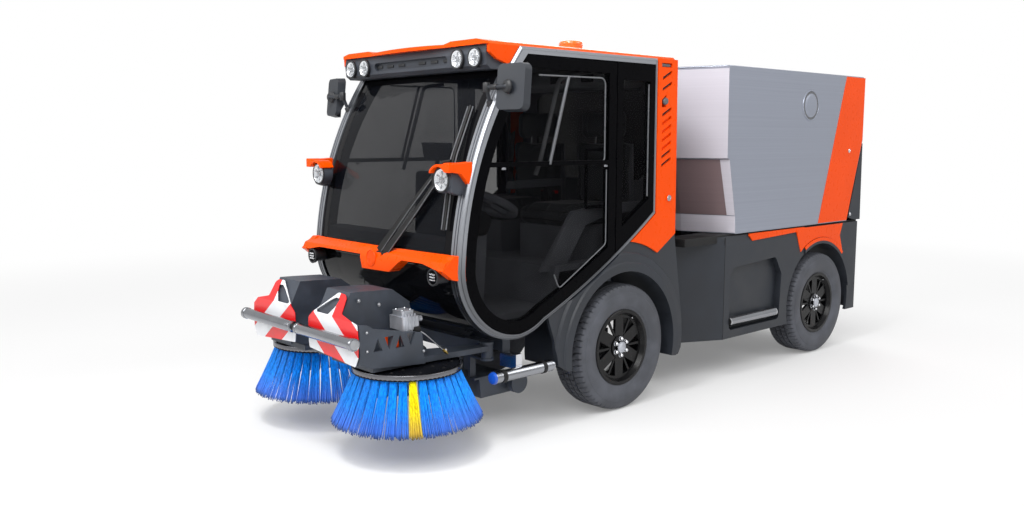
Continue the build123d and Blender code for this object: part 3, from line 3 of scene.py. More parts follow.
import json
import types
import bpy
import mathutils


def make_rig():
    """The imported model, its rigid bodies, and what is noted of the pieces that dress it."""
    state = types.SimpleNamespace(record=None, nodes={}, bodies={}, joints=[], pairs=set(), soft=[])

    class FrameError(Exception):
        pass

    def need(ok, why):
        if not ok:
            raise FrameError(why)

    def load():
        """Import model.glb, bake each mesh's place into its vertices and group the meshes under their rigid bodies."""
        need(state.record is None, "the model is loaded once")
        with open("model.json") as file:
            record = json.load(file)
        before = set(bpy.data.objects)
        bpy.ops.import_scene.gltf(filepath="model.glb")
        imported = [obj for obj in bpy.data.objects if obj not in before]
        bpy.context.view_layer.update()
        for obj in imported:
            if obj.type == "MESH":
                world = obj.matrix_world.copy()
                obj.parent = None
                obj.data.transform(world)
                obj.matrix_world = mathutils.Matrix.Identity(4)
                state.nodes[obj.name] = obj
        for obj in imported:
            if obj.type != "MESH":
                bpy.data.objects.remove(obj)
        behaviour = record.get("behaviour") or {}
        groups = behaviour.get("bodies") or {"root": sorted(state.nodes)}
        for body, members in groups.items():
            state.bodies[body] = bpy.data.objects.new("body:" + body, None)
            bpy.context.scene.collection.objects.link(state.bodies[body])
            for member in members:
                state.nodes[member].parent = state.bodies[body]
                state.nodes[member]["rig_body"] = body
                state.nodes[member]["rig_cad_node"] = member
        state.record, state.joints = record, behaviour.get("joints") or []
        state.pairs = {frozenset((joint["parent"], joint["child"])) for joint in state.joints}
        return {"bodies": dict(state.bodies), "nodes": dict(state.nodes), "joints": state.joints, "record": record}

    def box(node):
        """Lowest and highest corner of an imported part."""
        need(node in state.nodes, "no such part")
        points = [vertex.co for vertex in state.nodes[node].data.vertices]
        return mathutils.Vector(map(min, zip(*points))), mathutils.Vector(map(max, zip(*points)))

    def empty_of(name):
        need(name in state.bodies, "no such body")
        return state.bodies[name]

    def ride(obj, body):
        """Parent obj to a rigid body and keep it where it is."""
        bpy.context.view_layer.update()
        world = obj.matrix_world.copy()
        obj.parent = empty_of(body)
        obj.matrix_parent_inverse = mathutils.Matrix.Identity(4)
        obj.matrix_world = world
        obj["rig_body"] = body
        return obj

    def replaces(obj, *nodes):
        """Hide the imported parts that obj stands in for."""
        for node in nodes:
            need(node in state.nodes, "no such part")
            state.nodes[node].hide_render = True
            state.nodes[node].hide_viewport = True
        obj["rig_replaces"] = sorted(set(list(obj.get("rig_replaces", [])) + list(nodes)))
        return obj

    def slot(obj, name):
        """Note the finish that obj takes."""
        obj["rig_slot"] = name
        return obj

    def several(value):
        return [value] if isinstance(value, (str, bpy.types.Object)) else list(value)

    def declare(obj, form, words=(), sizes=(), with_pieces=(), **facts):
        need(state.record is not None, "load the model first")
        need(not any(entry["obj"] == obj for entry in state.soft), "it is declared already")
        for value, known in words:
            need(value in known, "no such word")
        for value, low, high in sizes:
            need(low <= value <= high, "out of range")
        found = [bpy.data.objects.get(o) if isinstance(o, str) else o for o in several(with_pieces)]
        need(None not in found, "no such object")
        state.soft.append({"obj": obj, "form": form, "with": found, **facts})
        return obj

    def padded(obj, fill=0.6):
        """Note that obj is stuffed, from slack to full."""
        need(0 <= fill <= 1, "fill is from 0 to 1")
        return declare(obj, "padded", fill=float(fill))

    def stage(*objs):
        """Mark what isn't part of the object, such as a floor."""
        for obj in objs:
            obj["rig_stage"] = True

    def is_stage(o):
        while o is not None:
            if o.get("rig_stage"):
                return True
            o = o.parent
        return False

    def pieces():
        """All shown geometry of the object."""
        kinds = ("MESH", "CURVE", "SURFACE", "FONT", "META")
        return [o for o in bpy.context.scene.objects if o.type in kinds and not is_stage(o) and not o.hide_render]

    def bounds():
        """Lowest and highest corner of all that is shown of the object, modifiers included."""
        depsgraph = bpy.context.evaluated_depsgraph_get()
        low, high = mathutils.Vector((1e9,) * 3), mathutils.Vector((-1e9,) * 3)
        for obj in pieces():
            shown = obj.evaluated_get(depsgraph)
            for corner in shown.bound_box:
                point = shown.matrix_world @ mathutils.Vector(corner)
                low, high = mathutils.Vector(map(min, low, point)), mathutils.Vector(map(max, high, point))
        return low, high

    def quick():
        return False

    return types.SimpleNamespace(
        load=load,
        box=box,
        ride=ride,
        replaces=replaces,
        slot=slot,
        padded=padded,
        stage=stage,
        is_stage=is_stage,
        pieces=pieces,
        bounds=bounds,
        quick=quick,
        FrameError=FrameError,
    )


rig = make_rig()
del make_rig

bl_info = {
    "name": "Compact Street Sweeper",
    "version": (1, 0, 0),
    "blender": (4, 5, 0),
    "location": "3D View > Sidebar > Sweeper",
    "description": "Builds the details, finishes and studio of a compact street sweeper",
    "category": "Object",
}

import sys

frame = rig.load()
CAD_BOX = [list(corner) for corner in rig.bounds()]

import json
import random
from math import cos, pi, radians, sin

import bpy
from bpy.props import FloatProperty, FloatVectorProperty, IntProperty, PointerProperty
from mathutils import Vector

FRONT = -0.48  # front axle
REAR = 1.575  # rear axle
HUB_Z = 0.3465
SIDES = (("left", 1), ("right", -1))
X, Y, Z = Vector((1, 0, 0)), Vector((0, 1, 0)), Vector((0, 0, 1))


def tone(red, green, blue, alpha=1.0):
    """A screen colour, 0 to 255, as the linear one that shaders take."""
    return tuple(
        ((c / 255 + 0.055) / 1.055) ** 2.4 if c > 10 else c / 3294.6 for c in (red, green, blue)
    ) + (alpha,)


def at(x, y, z):
    """A point whose Y is measured from the front axle."""
    return x, FRONT + y, z


# ---------------------------------------------------------------- settings
def colour_setting(name, description, default):
    """A colour setting."""
    return FloatVectorProperty(
        name=name, description=description, subtype="COLOR", size=4, default=default, min=0, max=1
    )


class SweeperColours(bpy.types.PropertyGroup):
    """Colours that an owner of the machine would choose."""

    paint: colour_setting("Paint", "Gloss paint of roof, bar and pillars", tone(238, 76, 1))
    mouldings: colour_setting("Mouldings", "Grained plastic of arches and skirts", tone(34, 38, 45))
    bristles: colour_setting("Bristles", "Brush bristles", tone(2, 138, 255))
    marker: colour_setting("Marker tuft", "The one tuft that shows the brush turning", tone(250, 222, 8))
    seats: colour_setting("Seats", "Seat fabric", tone(58, 60, 64))


class SweeperSizes(bpy.types.PropertyGroup):
    """Sizes and counts of the modelled details."""

    tufts: IntProperty(name="Tufts", description="Tufts round a brush", default=36, min=12, max=80)
    strands: IntProperty(name="Strands", description="Strands in a row of a tuft", default=9, min=3, max=40)
    tread_blocks: IntProperty(
        name="Tread blocks", description="Blocks round a tyre", default=64, min=24, max=120
    )
    tread_depth: FloatProperty(
        name="Tread depth", description="Depth of the tyre's grooves", default=0.009, unit="LENGTH", min=0,
        max=0.02
    )
    nuts: IntProperty(name="Wheel nuts", description="Nuts on each hub", default=6, min=3, max=10)
    seam: FloatProperty(
        name="Seat seam", description="Radius of the piping round a cushion", default=0.004, unit="LENGTH"
    )


class SweeperStudio(bpy.types.PropertyGroup):
    """Camera and lamps."""

    lens: FloatProperty(name="Lens", description="Focal length", default=32.28, unit="CAMERA")
    azimuth: FloatProperty(
        name="Azimuth", description="Camera heading", default=radians(47.632), subtype="ANGLE"
    )
    dip: FloatProperty(
        name="Dip", description="How far the camera looks down", default=radians(7.1006), subtype="ANGLE"
    )
    place: FloatVectorProperty(
        name="Place", description="Camera position", default=(3.8502, -4.2407, 1.4786),
        subtype="XYZ", unit="LENGTH"
    )
    ground: colour_setting("Ground", "Studio floor", (0.8, 0.8, 0.8, 1))


# ---------------------------------------------------------------- modelling
def named(name):
    """The active piece, given its name."""
    piece = bpy.context.object
    piece.name = piece.data.name = name
    return piece


def alone(piece):
    """Leave one piece selected and active."""
    bpy.ops.object.select_all(action="DESELECT")
    piece.select_set(True)
    bpy.context.view_layer.objects.active = piece


def edit(piece=None):
    """Enter edit mode on a piece with everything selected."""
    if piece:
        alone(piece)
    bpy.ops.object.mode_set(mode="EDIT")
    bpy.ops.mesh.select_all(action="SELECT")


def leave():
    """Back to object mode."""
    bpy.ops.object.mode_set(mode="OBJECT")


def done(piece, smooth=35):
    """Leave edit mode with faces outwards and shading smooth up to an angle."""
    if bpy.context.mode != "EDIT_MESH":
        edit(piece)
    bpy.ops.mesh.select_all(action="SELECT")
    bpy.ops.mesh.remove_doubles(threshold=0.00001)
    bpy.ops.mesh.normals_make_consistent(inside=False)
    leave()
    bpy.ops.object.shade_smooth_by_angle(angle=radians(smooth))
    return piece


def chain(name, points, close=False):
    """A line of vertices through points, extruded from a single one; edit mode stays on."""
    bpy.ops.object.select_all(action="DESELECT")
    bpy.ops.mesh.primitive_plane_add(size=0.01)
    piece = named(name)
    edit()
    bpy.ops.mesh.merge(type="CENTER")
    bpy.ops.transform.translate(value=points[0])
    for a, b in zip(points, points[1:]):
        bpy.ops.mesh.extrude_vertices_move(TRANSFORM_OT_translate={"value": Vector(b) - Vector(a)})
    bpy.ops.mesh.select_all(action="SELECT")
    if close:
        bpy.ops.mesh.edge_face_add()
    return piece


def modify(piece, kind, **settings):
    """Add a modifier and apply it."""
    alone(piece)
    modifier = piece.modifiers.new(kind.title(), kind)
    for key, value in settings.items():
        setattr(modifier, key, value)
    bpy.ops.object.modifier_apply(modifier=modifier.name)
    return piece


def soften(piece, width, segments=2):
    """Round a piece's sharp edges."""
    if width:
        modify(
            piece, "BEVEL", width=width, segments=segments, limit_method="ANGLE", angle_limit=radians(30)
        )
    return done(piece)


def plate(name, points, depth, bevel=0.0015, segments=2):
    """A flat outline pulled out along a vector."""
    chain(name, points, close=True)
    bpy.ops.mesh.extrude_region_move(TRANSFORM_OT_translate={"value": Vector(depth)})
    return soften(done(bpy.context.object), bevel, segments)


def side_plate(name, points, x, depth, bevel=0.0015):
    """A plate drawn in side view, (y, z) pairs measured from the front axle."""
    return plate(name, [at(x, y, z) for y, z in points], (depth, 0, 0), bevel)


def pierced(name, loops, depth, rounding, bevel=0.0006):
    """A plate whose first loop is its outline and whose other loops are holes; corners are rounded."""
    wires = []
    for loop in loops:
        wire = chain("loop", loop, close=True)
        bpy.ops.mesh.bevel(offset=rounding, segments=4, affect="VERTICES")
        bpy.ops.mesh.select_all(action="SELECT")
        bpy.ops.mesh.delete(type="ONLY_FACE")
        leave()
        wires.append(wire)
    piece = joined(name, wires)
    edit(piece)
    bpy.ops.mesh.fill()
    bpy.ops.mesh.select_all(action="SELECT")
    bpy.ops.mesh.extrude_region_move(TRANSFORM_OT_translate={"value": Vector(depth)})
    return soften(done(piece), bevel)


def lathe(name, profile, centre=(0, 0, 0), axis=X, steps=32, smooth=35):
    """A turned piece; its profile is pairs of distance along the axis and radius."""
    axis = Vector(axis).normalized()
    out = axis.orthogonal().normalized()
    chain(name, [Vector(centre) + axis * along + out * max(radius, 0) for along, radius in profile])
    bpy.ops.mesh.spin(steps=steps, angle=2 * pi, center=centre, axis=axis)
    return done(bpy.context.object, smooth)


def tube(name, points, radius, bend=0.0, sides=3):
    """A round bar through points, its corners rounded to a bend."""
    chain(name, points)
    if bend:
        bpy.ops.mesh.bevel(offset=bend, segments=6, affect="VERTICES")
    leave()
    bpy.ops.object.convert(target="CURVE")
    piece = bpy.context.object
    piece.data.bevel_depth = radius
    piece.data.bevel_resolution = sides
    piece.data.use_fill_caps = True
    bpy.ops.object.convert(target="MESH")
    return done(named(name), 50)


def box(name, low, high, bevel=0.002, segments=2):
    """A block between two corners, with rounded edges."""
    low, high = Vector(low), Vector(high)
    bpy.ops.object.select_all(action="DESELECT")
    bpy.ops.mesh.primitive_cube_add(size=1)
    piece = named(name)
    edit()
    bpy.ops.transform.resize(value=high - low)
    bpy.ops.transform.translate(value=(low + high) / 2)
    leave()
    return soften(piece, bevel, segments)


def moved(piece, shift=(0, 0, 0), turn=0.0, axis="Z", about=(0, 0, 0), flip=False):
    """Mirror, turn and shift the mesh of a piece, which leaves its origin where it is."""
    edit(piece)
    if flip:
        bpy.ops.transform.resize(value=(-1, 1, 1), center_override=(0, 0, 0))
        bpy.ops.mesh.flip_normals()
    if turn:
        bpy.ops.transform.rotate(value=-turn, orient_axis=axis, center_override=about)
    if any(shift):
        bpy.ops.transform.translate(value=shift)
    leave()
    return piece


def copied(piece, name, shift=(0, 0, 0), turn=0.0, axis="Z", about=(0, 0, 0), flip=False):
    """A copy with its own mesh, moved, turned about a point or mirrored to the other side."""
    alone(piece)
    bpy.ops.object.duplicate(linked=False)
    return moved(named(name), shift, turn, axis, about, flip)


def ringed(piece, count, axis="X", about=(0, 0, 0)):
    """Copies of a piece spaced round a point, joined with it."""
    others = [
        copied(piece, "copy", turn=2 * pi * k / count, axis=axis, about=about) for k in range(1, count)
    ]
    return joined(piece.name, [piece] + others)


def joined(name, pieces):
    """Several pieces made one."""
    bpy.ops.object.select_all(action="DESELECT")
    for piece in pieces:
        piece.select_set(True)
    bpy.context.view_layer.objects.active = pieces[0]
    if len(pieces) > 1:
        bpy.ops.object.join()
    return named(name)


def place(piece, finish, body="root", slot=None):
    """Give a finished piece its material, its body and its record slot."""
    slot = slot or SLOTS[finish]
    piece.data.materials.clear()
    piece.data.materials.append(FINISHES[finish])
    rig.ride(piece, body)
    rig.slot(piece, slot)
    return piece


def both(piece, finish, body="root", slot=None):
    """Place a left-hand piece and its mirror image; a body's own side name follows."""
    stem = piece.name
    right = copied(piece, stem + "_right", flip=True)
    piece.name = piece.data.name = stem + "_left"
    for twin, (side, _) in ((piece, SIDES[0]), (right, SIDES[1])):
        place(twin, finish, body.replace("SIDE", side), slot)
    return piece, right


# ---------------------------------------------------------------- finishes
class Wire:
    """A shader output that Python's arithmetic feeds through Math nodes."""

    def __init__(self, finish, socket):
        self.finish, self.socket = finish, socket

    def math(self, operation, other=0.0, swapped=False):
        pair = (other, self) if swapped else (self, other)
        return self.finish.node("Math", {"operation": operation}, {0: pair[0], 1: pair[1]})

    def __add__(self, other):
        return self.math("ADD", other)

    def __sub__(self, other):
        return self.math("SUBTRACT", other)

    def __mul__(self, other):
        return self.math("MULTIPLY", other)

    def __truediv__(self, other):
        return self.math("DIVIDE", other)

    def __rsub__(self, other):
        return self.math("SUBTRACT", other, True)

    def __gt__(self, other):
        return self.math("GREATER_THAN", other)

    def __lt__(self, other):
        return self.math("LESS_THAN", other)

    __radd__, __rmul__ = __add__, __mul__


class Graph:
    """A node tree under construction, of a material or of the world."""

    def __init__(self, owner):
        owner.use_nodes = True
        self.tree = owner.node_tree

    def feed(self, node, sockets):
        for key, value in sockets.items():
            if isinstance(value, Wire):
                self.tree.links.new(value.socket, node.inputs[key])
            else:
                node.inputs[key].default_value = value

    def node(self, kind, settings=None, sockets=None, out=0):
        """One node: its settings go first, then the values and links of its sockets."""
        node = self.tree.nodes.new("ShaderNode" + kind)
        for key, value in (settings or {}).items():
            setattr(node, key, value)
        self.feed(node, sockets or {})
        return Wire(self, node.outputs[out])

    def backdrop_seen(self, share_in_metal):
        """1 where a ray comes from the camera or through glass, a share of it off glossy surfaces."""
        camera = self.node("LightPath")
        rays = camera.socket.node.outputs
        glossy, through = Wire(self, rays["Is Glossy Ray"]), Wire(self, rays["Is Transmission Ray"])
        return (camera + through + glossy * share_in_metal).math("MINIMUM", 1.0)

    def ends(self, wire, name):
        """Lead a wire to the tree's output."""
        self.tree.links.new(wire.socket, self.tree.nodes[name].inputs["Surface"])


class Finish(Graph):
    """A procedural material under construction."""

    def __init__(self, name, constants):
        self.material = bpy.data.materials.new(name)
        super().__init__(self.material)
        self.shader = self.tree.nodes["Principled BSDF"]
        self.feed(self.shader, constants)

    def place(self, scale=None):
        """Object coordinates, stretched."""
        spot = self.node("TexCoord", out=3)
        return self.node("Mapping", {}, {"Vector": spot, "Scale": scale}) if scale else spot

    def noise(self, scale, stretch=None, detail=2.0, rough=0.5):
        return self.node(
            "TexNoise", {}, {"Vector": self.place(stretch), "Scale": scale, "Detail": detail,
                "Roughness": rough}
        )

    def axes(self):
        """Object X, Y and Z as numbers."""
        parts = self.node("SeparateXYZ", {}, {0: self.place()})
        return [Wire(self, out) for out in parts.socket.node.outputs]

    def span(self, value, low, high, start=0.0, end=1.0):
        """A value's way from low to high, smoothed and clamped."""
        sockets = {"Value": value, "From Min": low, "From Max": high, "To Min": start, "To Max": end}
        return self.node("MapRange", {"interpolation_type": "SMOOTHSTEP"}, sockets)

    def blend(self, factor, first, second):
        return self.node("Mix", {"data_type": "RGBA"}, {0: factor, 6: first, 7: second}, out=2)

    def bump(self, height, strength, distance):
        return self.node("Bump", {}, {"Height": height, "Strength": strength, "Distance": distance})

    def made(self, sockets):
        self.feed(self.shader, sockets)
        return self.material


def shade(colour, factor):
    """A colour made lighter or darker."""
    return tuple(min(1.0, c * factor) for c in colour[:3]) + (1.0,)


def gloss_paint(name, colour, coat=0.7, shine=0.5):
    """Smooth clear-coated paint with a faint orange-peel skin."""
    finish = Finish(name, {"Coat Weight": coat, "Coat Roughness": 0.05, "Specular IOR Level": shine})
    cloud = finish.noise(2.5, detail=3)
    peel = finish.noise(240, detail=1)
    tint = finish.blend(cloud, shade(colour, 0.9), shade(colour, 1.08))
    rough = finish.span(finish.noise(30), 0.3, 0.7, 0.26, 0.36)
    return finish.made({"Base Color": tint, "Roughness": rough, "Normal": finish.bump(peel, 0.01, 0.0003)})


def moulding(name, colour, grain=620, rough=(0.42, 0.58)):
    """Injection-moulded plastic with a leather-fine grain and uneven handling sheen."""
    finish = Finish(name, {"Specular IOR Level": 0.45})
    skin = finish.node("TexVoronoi", {"feature": "SMOOTH_F1"}, {"Vector": finish.place(), "Scale": grain})
    wear = finish.noise(5, detail=5)
    tint = finish.blend(finish.span(wear, 0.35, 0.7), shade(colour, 0.86), shade(colour, 1.14))
    return finish.made(
        {"Base Color": tint, "Roughness": finish.span(wear, 0.3, 0.7, *rough),
            "Normal": finish.bump(skin, 0.12, 0.0004)}
    )


def brushed(name, colour, stretch, rough=(0.24, 0.42), metal=1.0, depth=0.08, contrast=0.05, fall=None):
    """Brushed metal sheet with streaks; a painted shade darkens it downwards between the two heights of a fall."""
    finish = Finish(name, {"Metallic": metal})
    fine = finish.noise(1.0, stretch, detail=6, rough=0.7)
    broad = finish.noise(0.12, stretch, detail=3)
    mix = fine * 0.65 + broad * 0.35
    tint = finish.blend(
        finish.span(mix, 0.3, 0.7), shade(colour, 1 - contrast), shade(colour, 1 + contrast)
    )
    # Painted shade: below the fall's upper height the colour darkens, to its darkest under the lower one
    if fall:
        tint = finish.blend(finish.span(finish.axes()[2], *fall), shade(colour, 0.4), tint)
    return finish.made(
        {"Base Color": tint, "Roughness": finish.span(mix, 0.3, 0.7, *rough),
            "Normal": finish.bump(fine, depth, 0.0004)}
    )


def cast(name, colour, metal=0.0, rough=0.5, scale=90, depth=0.25):
    """Cast or powder-coated metal with a fine orange-skin texture and dusted hollows."""
    finish = Finish(name, {"Metallic": metal})
    dust = finish.noise(9, detail=6)
    skin = finish.noise(scale, detail=2)
    tint = finish.blend(finish.span(dust, 0.4, 0.75), shade(colour, 0.85), shade(colour, 1.25))
    wear = finish.span(dust, 0.3, 0.7, rough - 0.08, rough + 0.1)
    return finish.made({"Base Color": tint, "Roughness": wear, "Normal": finish.bump(skin, depth, 0.0006)})


def chrome(name, colour=(0.62, 0.63, 0.66, 1), rough=(0.08, 0.2)):
    """Polished plating with wiped smears."""
    finish = Finish(name, {"Metallic": 1.0})
    smear = finish.noise(14, (1, 0.3, 1), detail=4)
    tint = finish.blend(smear, shade(colour, 0.92), shade(colour, 1.08))
    return finish.made({"Base Color": tint, "Roughness": finish.span(smear, 0.35, 0.7, *rough)})


def glass(name, colour, alpha, frit=None, shine=0.12):
    """Tinted pane; a frit, if any, is the printed black border given by bounds on X and Z."""
    finish = Finish(name, {"Specular IOR Level": shine, "IOR": 1.5})
    dust = finish.noise(3, detail=5)
    veil = finish.span(dust, 0.45, 0.8, alpha, alpha + 0.05)
    tint, clear = colour, veil
    if frit:
        across, _, up = finish.axes()
        edge = (across.math("ABSOLUTE") > frit[0]) + (up > frit[2]) + (up < frit[1])
        print_mask = edge.math("MINIMUM", 1.0)
        clear = veil + (1 - veil) * print_mask
        tint = finish.blend(print_mask, colour, (0.004, 0.004, 0.005, 1))
    return finish.made(
        {"Base Color": tint, "Alpha": clear, "Roughness": finish.span(dust, 0.4, 0.8, 0.015, 0.05)}
    )


def rubber(name, colour, scuff=0.5):
    """Tyre rubber: matt black with a grey bloom and a fine pebble."""
    finish = Finish(name, {"Specular IOR Level": 0.35})
    bloom = finish.noise(7, detail=6)
    pebble = finish.noise(400, detail=2)
    tint = finish.blend(finish.span(bloom, 0.35, 0.75, 0.0, scuff), colour, shade(colour, 1.9))
    return finish.made(
        {"Base Color": tint, "Roughness": finish.span(bloom, 0.3, 0.7, 0.5, 0.68),
            "Normal": finish.bump(pebble, 0.15, 0.0004)}
    )


def woven(name, colour, pitch=520, rough=0.85):
    """Cloth of crossing yarns, with pile worn a little lighter on the crowns."""
    finish = Finish(name, {"Sheen Weight": 0.25, "Sheen Roughness": 0.4})
    waves = []
    for way in ("X", "Z"):
        settings = {"wave_type": "BANDS", "bands_direction": way, "wave_profile": "SIN"}
        waves.append(
            finish.node("TexWave", settings, {"Vector": finish.place(), "Scale": pitch / 6.3,
                "Distortion": 0.4})
        )
    yarn = waves[0] * waves[1]
    nap = finish.noise(12, detail=5)
    tint = finish.blend(nap * 0.6 + yarn * 0.4, shade(colour, 0.7), shade(colour, 1.4))
    return finish.made(
        {"Base Color": tint, "Roughness": finish.span(nap, 0.3, 0.7, rough - 0.1, rough),
            "Normal": finish.bump(yarn, 0.3, 0.0006)}
    )


def striped(name, light, dark, pitch, lean, phase=0.0):
    """Reflective warning film in slanting bands, the same on both sides of the machine."""
    finish = Finish(name, {"Coat Weight": 0.4, "Coat Roughness": 0.08})
    across, _, up = finish.axes()
    run = (across.math("ABSOLUTE") * lean + up.math("MINIMUM", 0.68) + phase) / pitch
    band = run.math("FRACT") > 0.5
    cells = finish.node(
        "TexVoronoi", {"feature": "DISTANCE_TO_EDGE"}, {"Vector": finish.place(), "Scale": 330}
    )
    dirt = finish.noise(11, detail=6)
    tint = finish.blend(band, light, dark)
    tint = finish.blend(finish.span(dirt, 0.5, 0.85, 0.0, 0.25), tint, tone(90, 86, 84))
    rough = finish.span(dirt, 0.3, 0.7, 0.28, 0.42)
    return finish.made({"Base Color": tint, "Roughness": rough, "Normal": finish.bump(cells, 0.05, 0.0003)})


def bristle(name, colour, worn, tip):
    """Plastic strands: streaked down their length, worn paler low down and grimy at the tips."""
    finish = Finish(name, {"Specular IOR Level": 0.35})
    streak = finish.noise(150, (1, 1, 0.03), detail=3)
    _, _, up = finish.axes()
    tint = finish.blend(finish.span(streak, 0.3, 0.7), shade(colour, 0.62), shade(colour, 1.25))
    tint = finish.blend(finish.span(up, 0.31, 0.175) * 0.8, tint, worn)
    tint = finish.blend(finish.span(up, 0.196, 0.16) * 0.9, tint, tip)
    return finish.made({"Base Color": tint, "Roughness": finish.span(streak, 0.3, 0.7, 0.35, 0.55)})


def lens(name, colour, glow=0.0, alpha=0.35):
    """Fluted lamp lens."""
    finish = Finish(name, {"Specular IOR Level": 0.8, "Coat Weight": 0.6, "Emission Strength": glow})
    finish.shader.inputs["Emission Color"].default_value = colour
    flute = finish.node(
        "TexWave", {"bands_direction": "X"}, {"Vector": finish.place(), "Scale": 45, "Distortion": 0}
    )
    haze = finish.noise(20, detail=3)
    return finish.made(
        {
            "Base Color": finish.blend(haze, shade(colour, 0.85), shade(colour, 1.1)),
            "Roughness": finish.span(haze, 0.3, 0.7, 0.04, 0.1),
            "Alpha": finish.span(flute, 0.1, 0.9, alpha, min(1, alpha + 0.15)),
            "Normal": finish.bump(flute, 0.25, 0.001),
        }
    )


# ---------------------------------------------------------------- operators
NAMES_BY_FINISH = {
    "paint": "roof_cap rear_pillars front_bar lamp_pods",
    "pale_moulding": "light_bar",
    "moulding": "front_fenders side_skirts rear_fenders rear_bumper mirrors hopper_hatch",
    "hoop": "cab_hoops",
    "black": "side_frames door_left door_right",
    "frame": "chassis_frame engine_block brush_carrier suction_mouth brush_arm_left brush_arm_right wiper",
    "steel": "axles knuckle_left knuckle_right tip_cylinders",
    "chrome": "side_rollers tip_rods",
    "inside": "cab_tub cab_roof dashboard steering_wheel",
    "screen": "windscreen",
    "low_screen": "lower_windscreen rear_window",
    "pane": "quarter_glass door_glass_left door_glass_right",
    "stainless": "hopper_body",
    "warning": "warning_panel_left warning_panel_right",
    "alloy": "brush_motor_left brush_motor_right",
    "plate": "brush_plate_left brush_plate_right",
    "rim": "rim_front_left rim_front_right rim_rear_left rim_rear_right",
    "tyre": "tyre_front_left tyre_front_right tyre_rear_left tyre_rear_right",
    "bristle": "brush_bristles_left brush_bristles_right",
    "dark_moulding": "lamps",
    "amber": "beacon",
    "red": "rear_lamps",
    "fabric": "seats",
}
FINISHES = {}
SLOTS = {
    finish: slot
    for slot, finishes in {
        "orange_paint": "paint",
        "stainless": "stainless pale_steel warm_steel",
        "steel": "bright",
        "chrome": "chrome tube dark_metal brass",
        "interior": "inside inside_light",
        "seat_fabric": "fabric belt",
        "red_white": "warning",
        "motor_alloy": "alloy",
        "black_gloss": "plate",
        "tyre_rubber": "tyre",
        "rim_paint": "rim",
        "bristle": "bristle marker",
        "lamp_glass": "lamp reflector",
        "beacon_lens": "amber",
        "dark_plastic": "black blue seal trim pale_moulding dark_moulding",
        "lamp_red": "red",
    }.items()
    for finish in finishes.split()
}


class SWEEPER_OT_finishes(bpy.types.Operator):
    """Mix every finish and lay each on the nodes of the frame that it belongs to"""

    bl_idname = "sweeper.finishes"
    bl_label = "Finishes"

    def execute(self, context):
        colours = context.scene.sweeper_colours
        paint, plastic = tuple(colours.paint), tuple(colours.mouldings)
        grain = (0.7, 0.7, 640)  # long streaks across the hopper's sheets
        fall = (0.78, 1.05)  # where a painted shade darkens the hoops downwards
        FINISHES.update(
            paint=gloss_paint("orange_gloss_paint", paint, 0.06, 0.1),
            moulding=moulding("grained_grey_moulding", plastic),
            pale_moulding=moulding("grained_pale_moulding", tone(54, 58, 66)),
            dark_moulding=moulding("grained_black_moulding", tone(34, 35, 38)),
            hoop=brushed(
                "satin_aluminium", tone(160, 163, 169), (12, 12, 12), (0.27, 0.31), 0.95, 0.0, 0.015, fall
            ),
            black=gloss_paint("black_gloss_border", tone(5, 5, 7), 0.0, 0.03),
            frame=cast("powder_coated_frame", tone(56, 62, 72)),
            steel=cast("cast_steel", tone(62, 62, 65), 0.6, 0.55),
            chrome=chrome("polished_tube"),
            inside=moulding("cab_plastic", tone(112, 114, 121), 300, (0.6, 0.75)),
            inside_light=moulding("cab_plastic_light", tone(132, 134, 138), 300, (0.55, 0.7)),
            screen=glass("tinted_screen", tone(14, 16, 21), 0.62, (0.518, 0.955, 1.765)),
            low_screen=glass("tinted_low_screen", tone(10, 11, 14), 0.86),
            pane=glass("tinted_pane", tone(4, 4, 6), 0.4, None, 0.04),
            stainless=brushed("brushed_stainless", tone(150, 155, 168), grain, (0.3, 0.4), 0.55, 0.01, 0.07),
            # Lit and shaded copies of the stainless for the hopper's front: a painted highlight, and painted shade
            # with a reddish painted reflection
            pale_steel=brushed("pale_stainless", tone(192, 189, 198), grain, (0.4, 0.5), 0.05, 0.01, 0.05),
            warm_steel=brushed("shaded_stainless", tone(122, 104, 106), grain, (0.4, 0.5), 0.2, 0.01, 0.06),
            warning=striped("warning_stripes", tone(226, 228, 232), tone(228, 4, 8), 0.24, 0.75, 0.1955),
            alloy=cast("cast_alloy", tone(178, 181, 188), 0.7, 0.42, 160, 0.2),
            plate=gloss_paint("black_plate", tone(12, 13, 17), 0.0, 0.05),
            rim=gloss_paint("gloss_black_rim", tone(6, 6, 8), 0.1, 0.2),
            tyre=rubber("tyre_rubber", tone(66, 68, 74), 0.8),
            bristle=bristle("blue_bristle", tuple(colours.bristles), tone(74, 108, 204), tone(44, 48, 66)),
            marker=bristle("yellow_bristle", tuple(colours.marker), tone(196, 158, 74), tone(60, 52, 44)),
            lamp=lens("clear_lens", tone(225, 230, 235), alpha=0.06),
            reflector=chrome("lamp_reflector", (0.85, 0.86, 0.88, 1), (0.05, 0.12)),
            amber=lens("amber_lens", tone(252, 104, 14), 0.15, 0.93),
            red=lens("red_lens", tone(190, 12, 14), 0.05, 0.93),
            fabric=woven("seat_cloth", tuple(colours.seats)),
            belt=woven("belt_webbing", tone(24, 24, 26), 900),
            seal=rubber("rubber_seal", tone(16, 16, 17), 0.2),
            trim=gloss_paint("grey_trim", tone(92, 94, 98), 0.1, 0.4),
            tube=chrome("polished_steel_tube", tone(148, 150, 155), (0.16, 0.26)),
            bright=cast("zinc_plated_steel", tone(168, 170, 174), 0.9, 0.32, 300, 0.05),
            dark_metal=chrome("dark_polished_metal", tone(120, 120, 124), (0.22, 0.34)),
            blue=gloss_paint("blue_cap", tone(24, 84, 190), 0.3),
            brass=cast("brass_fitting", tone(176, 150, 84), 1.0, 0.35, 200, 0.1),
        )
        for finish, names in NAMES_BY_FINISH.items():
            for name in names.split():
                for slot in frame["nodes"][name].material_slots:
                    slot.material = FINISHES[finish]
        return {"FINISHED"}


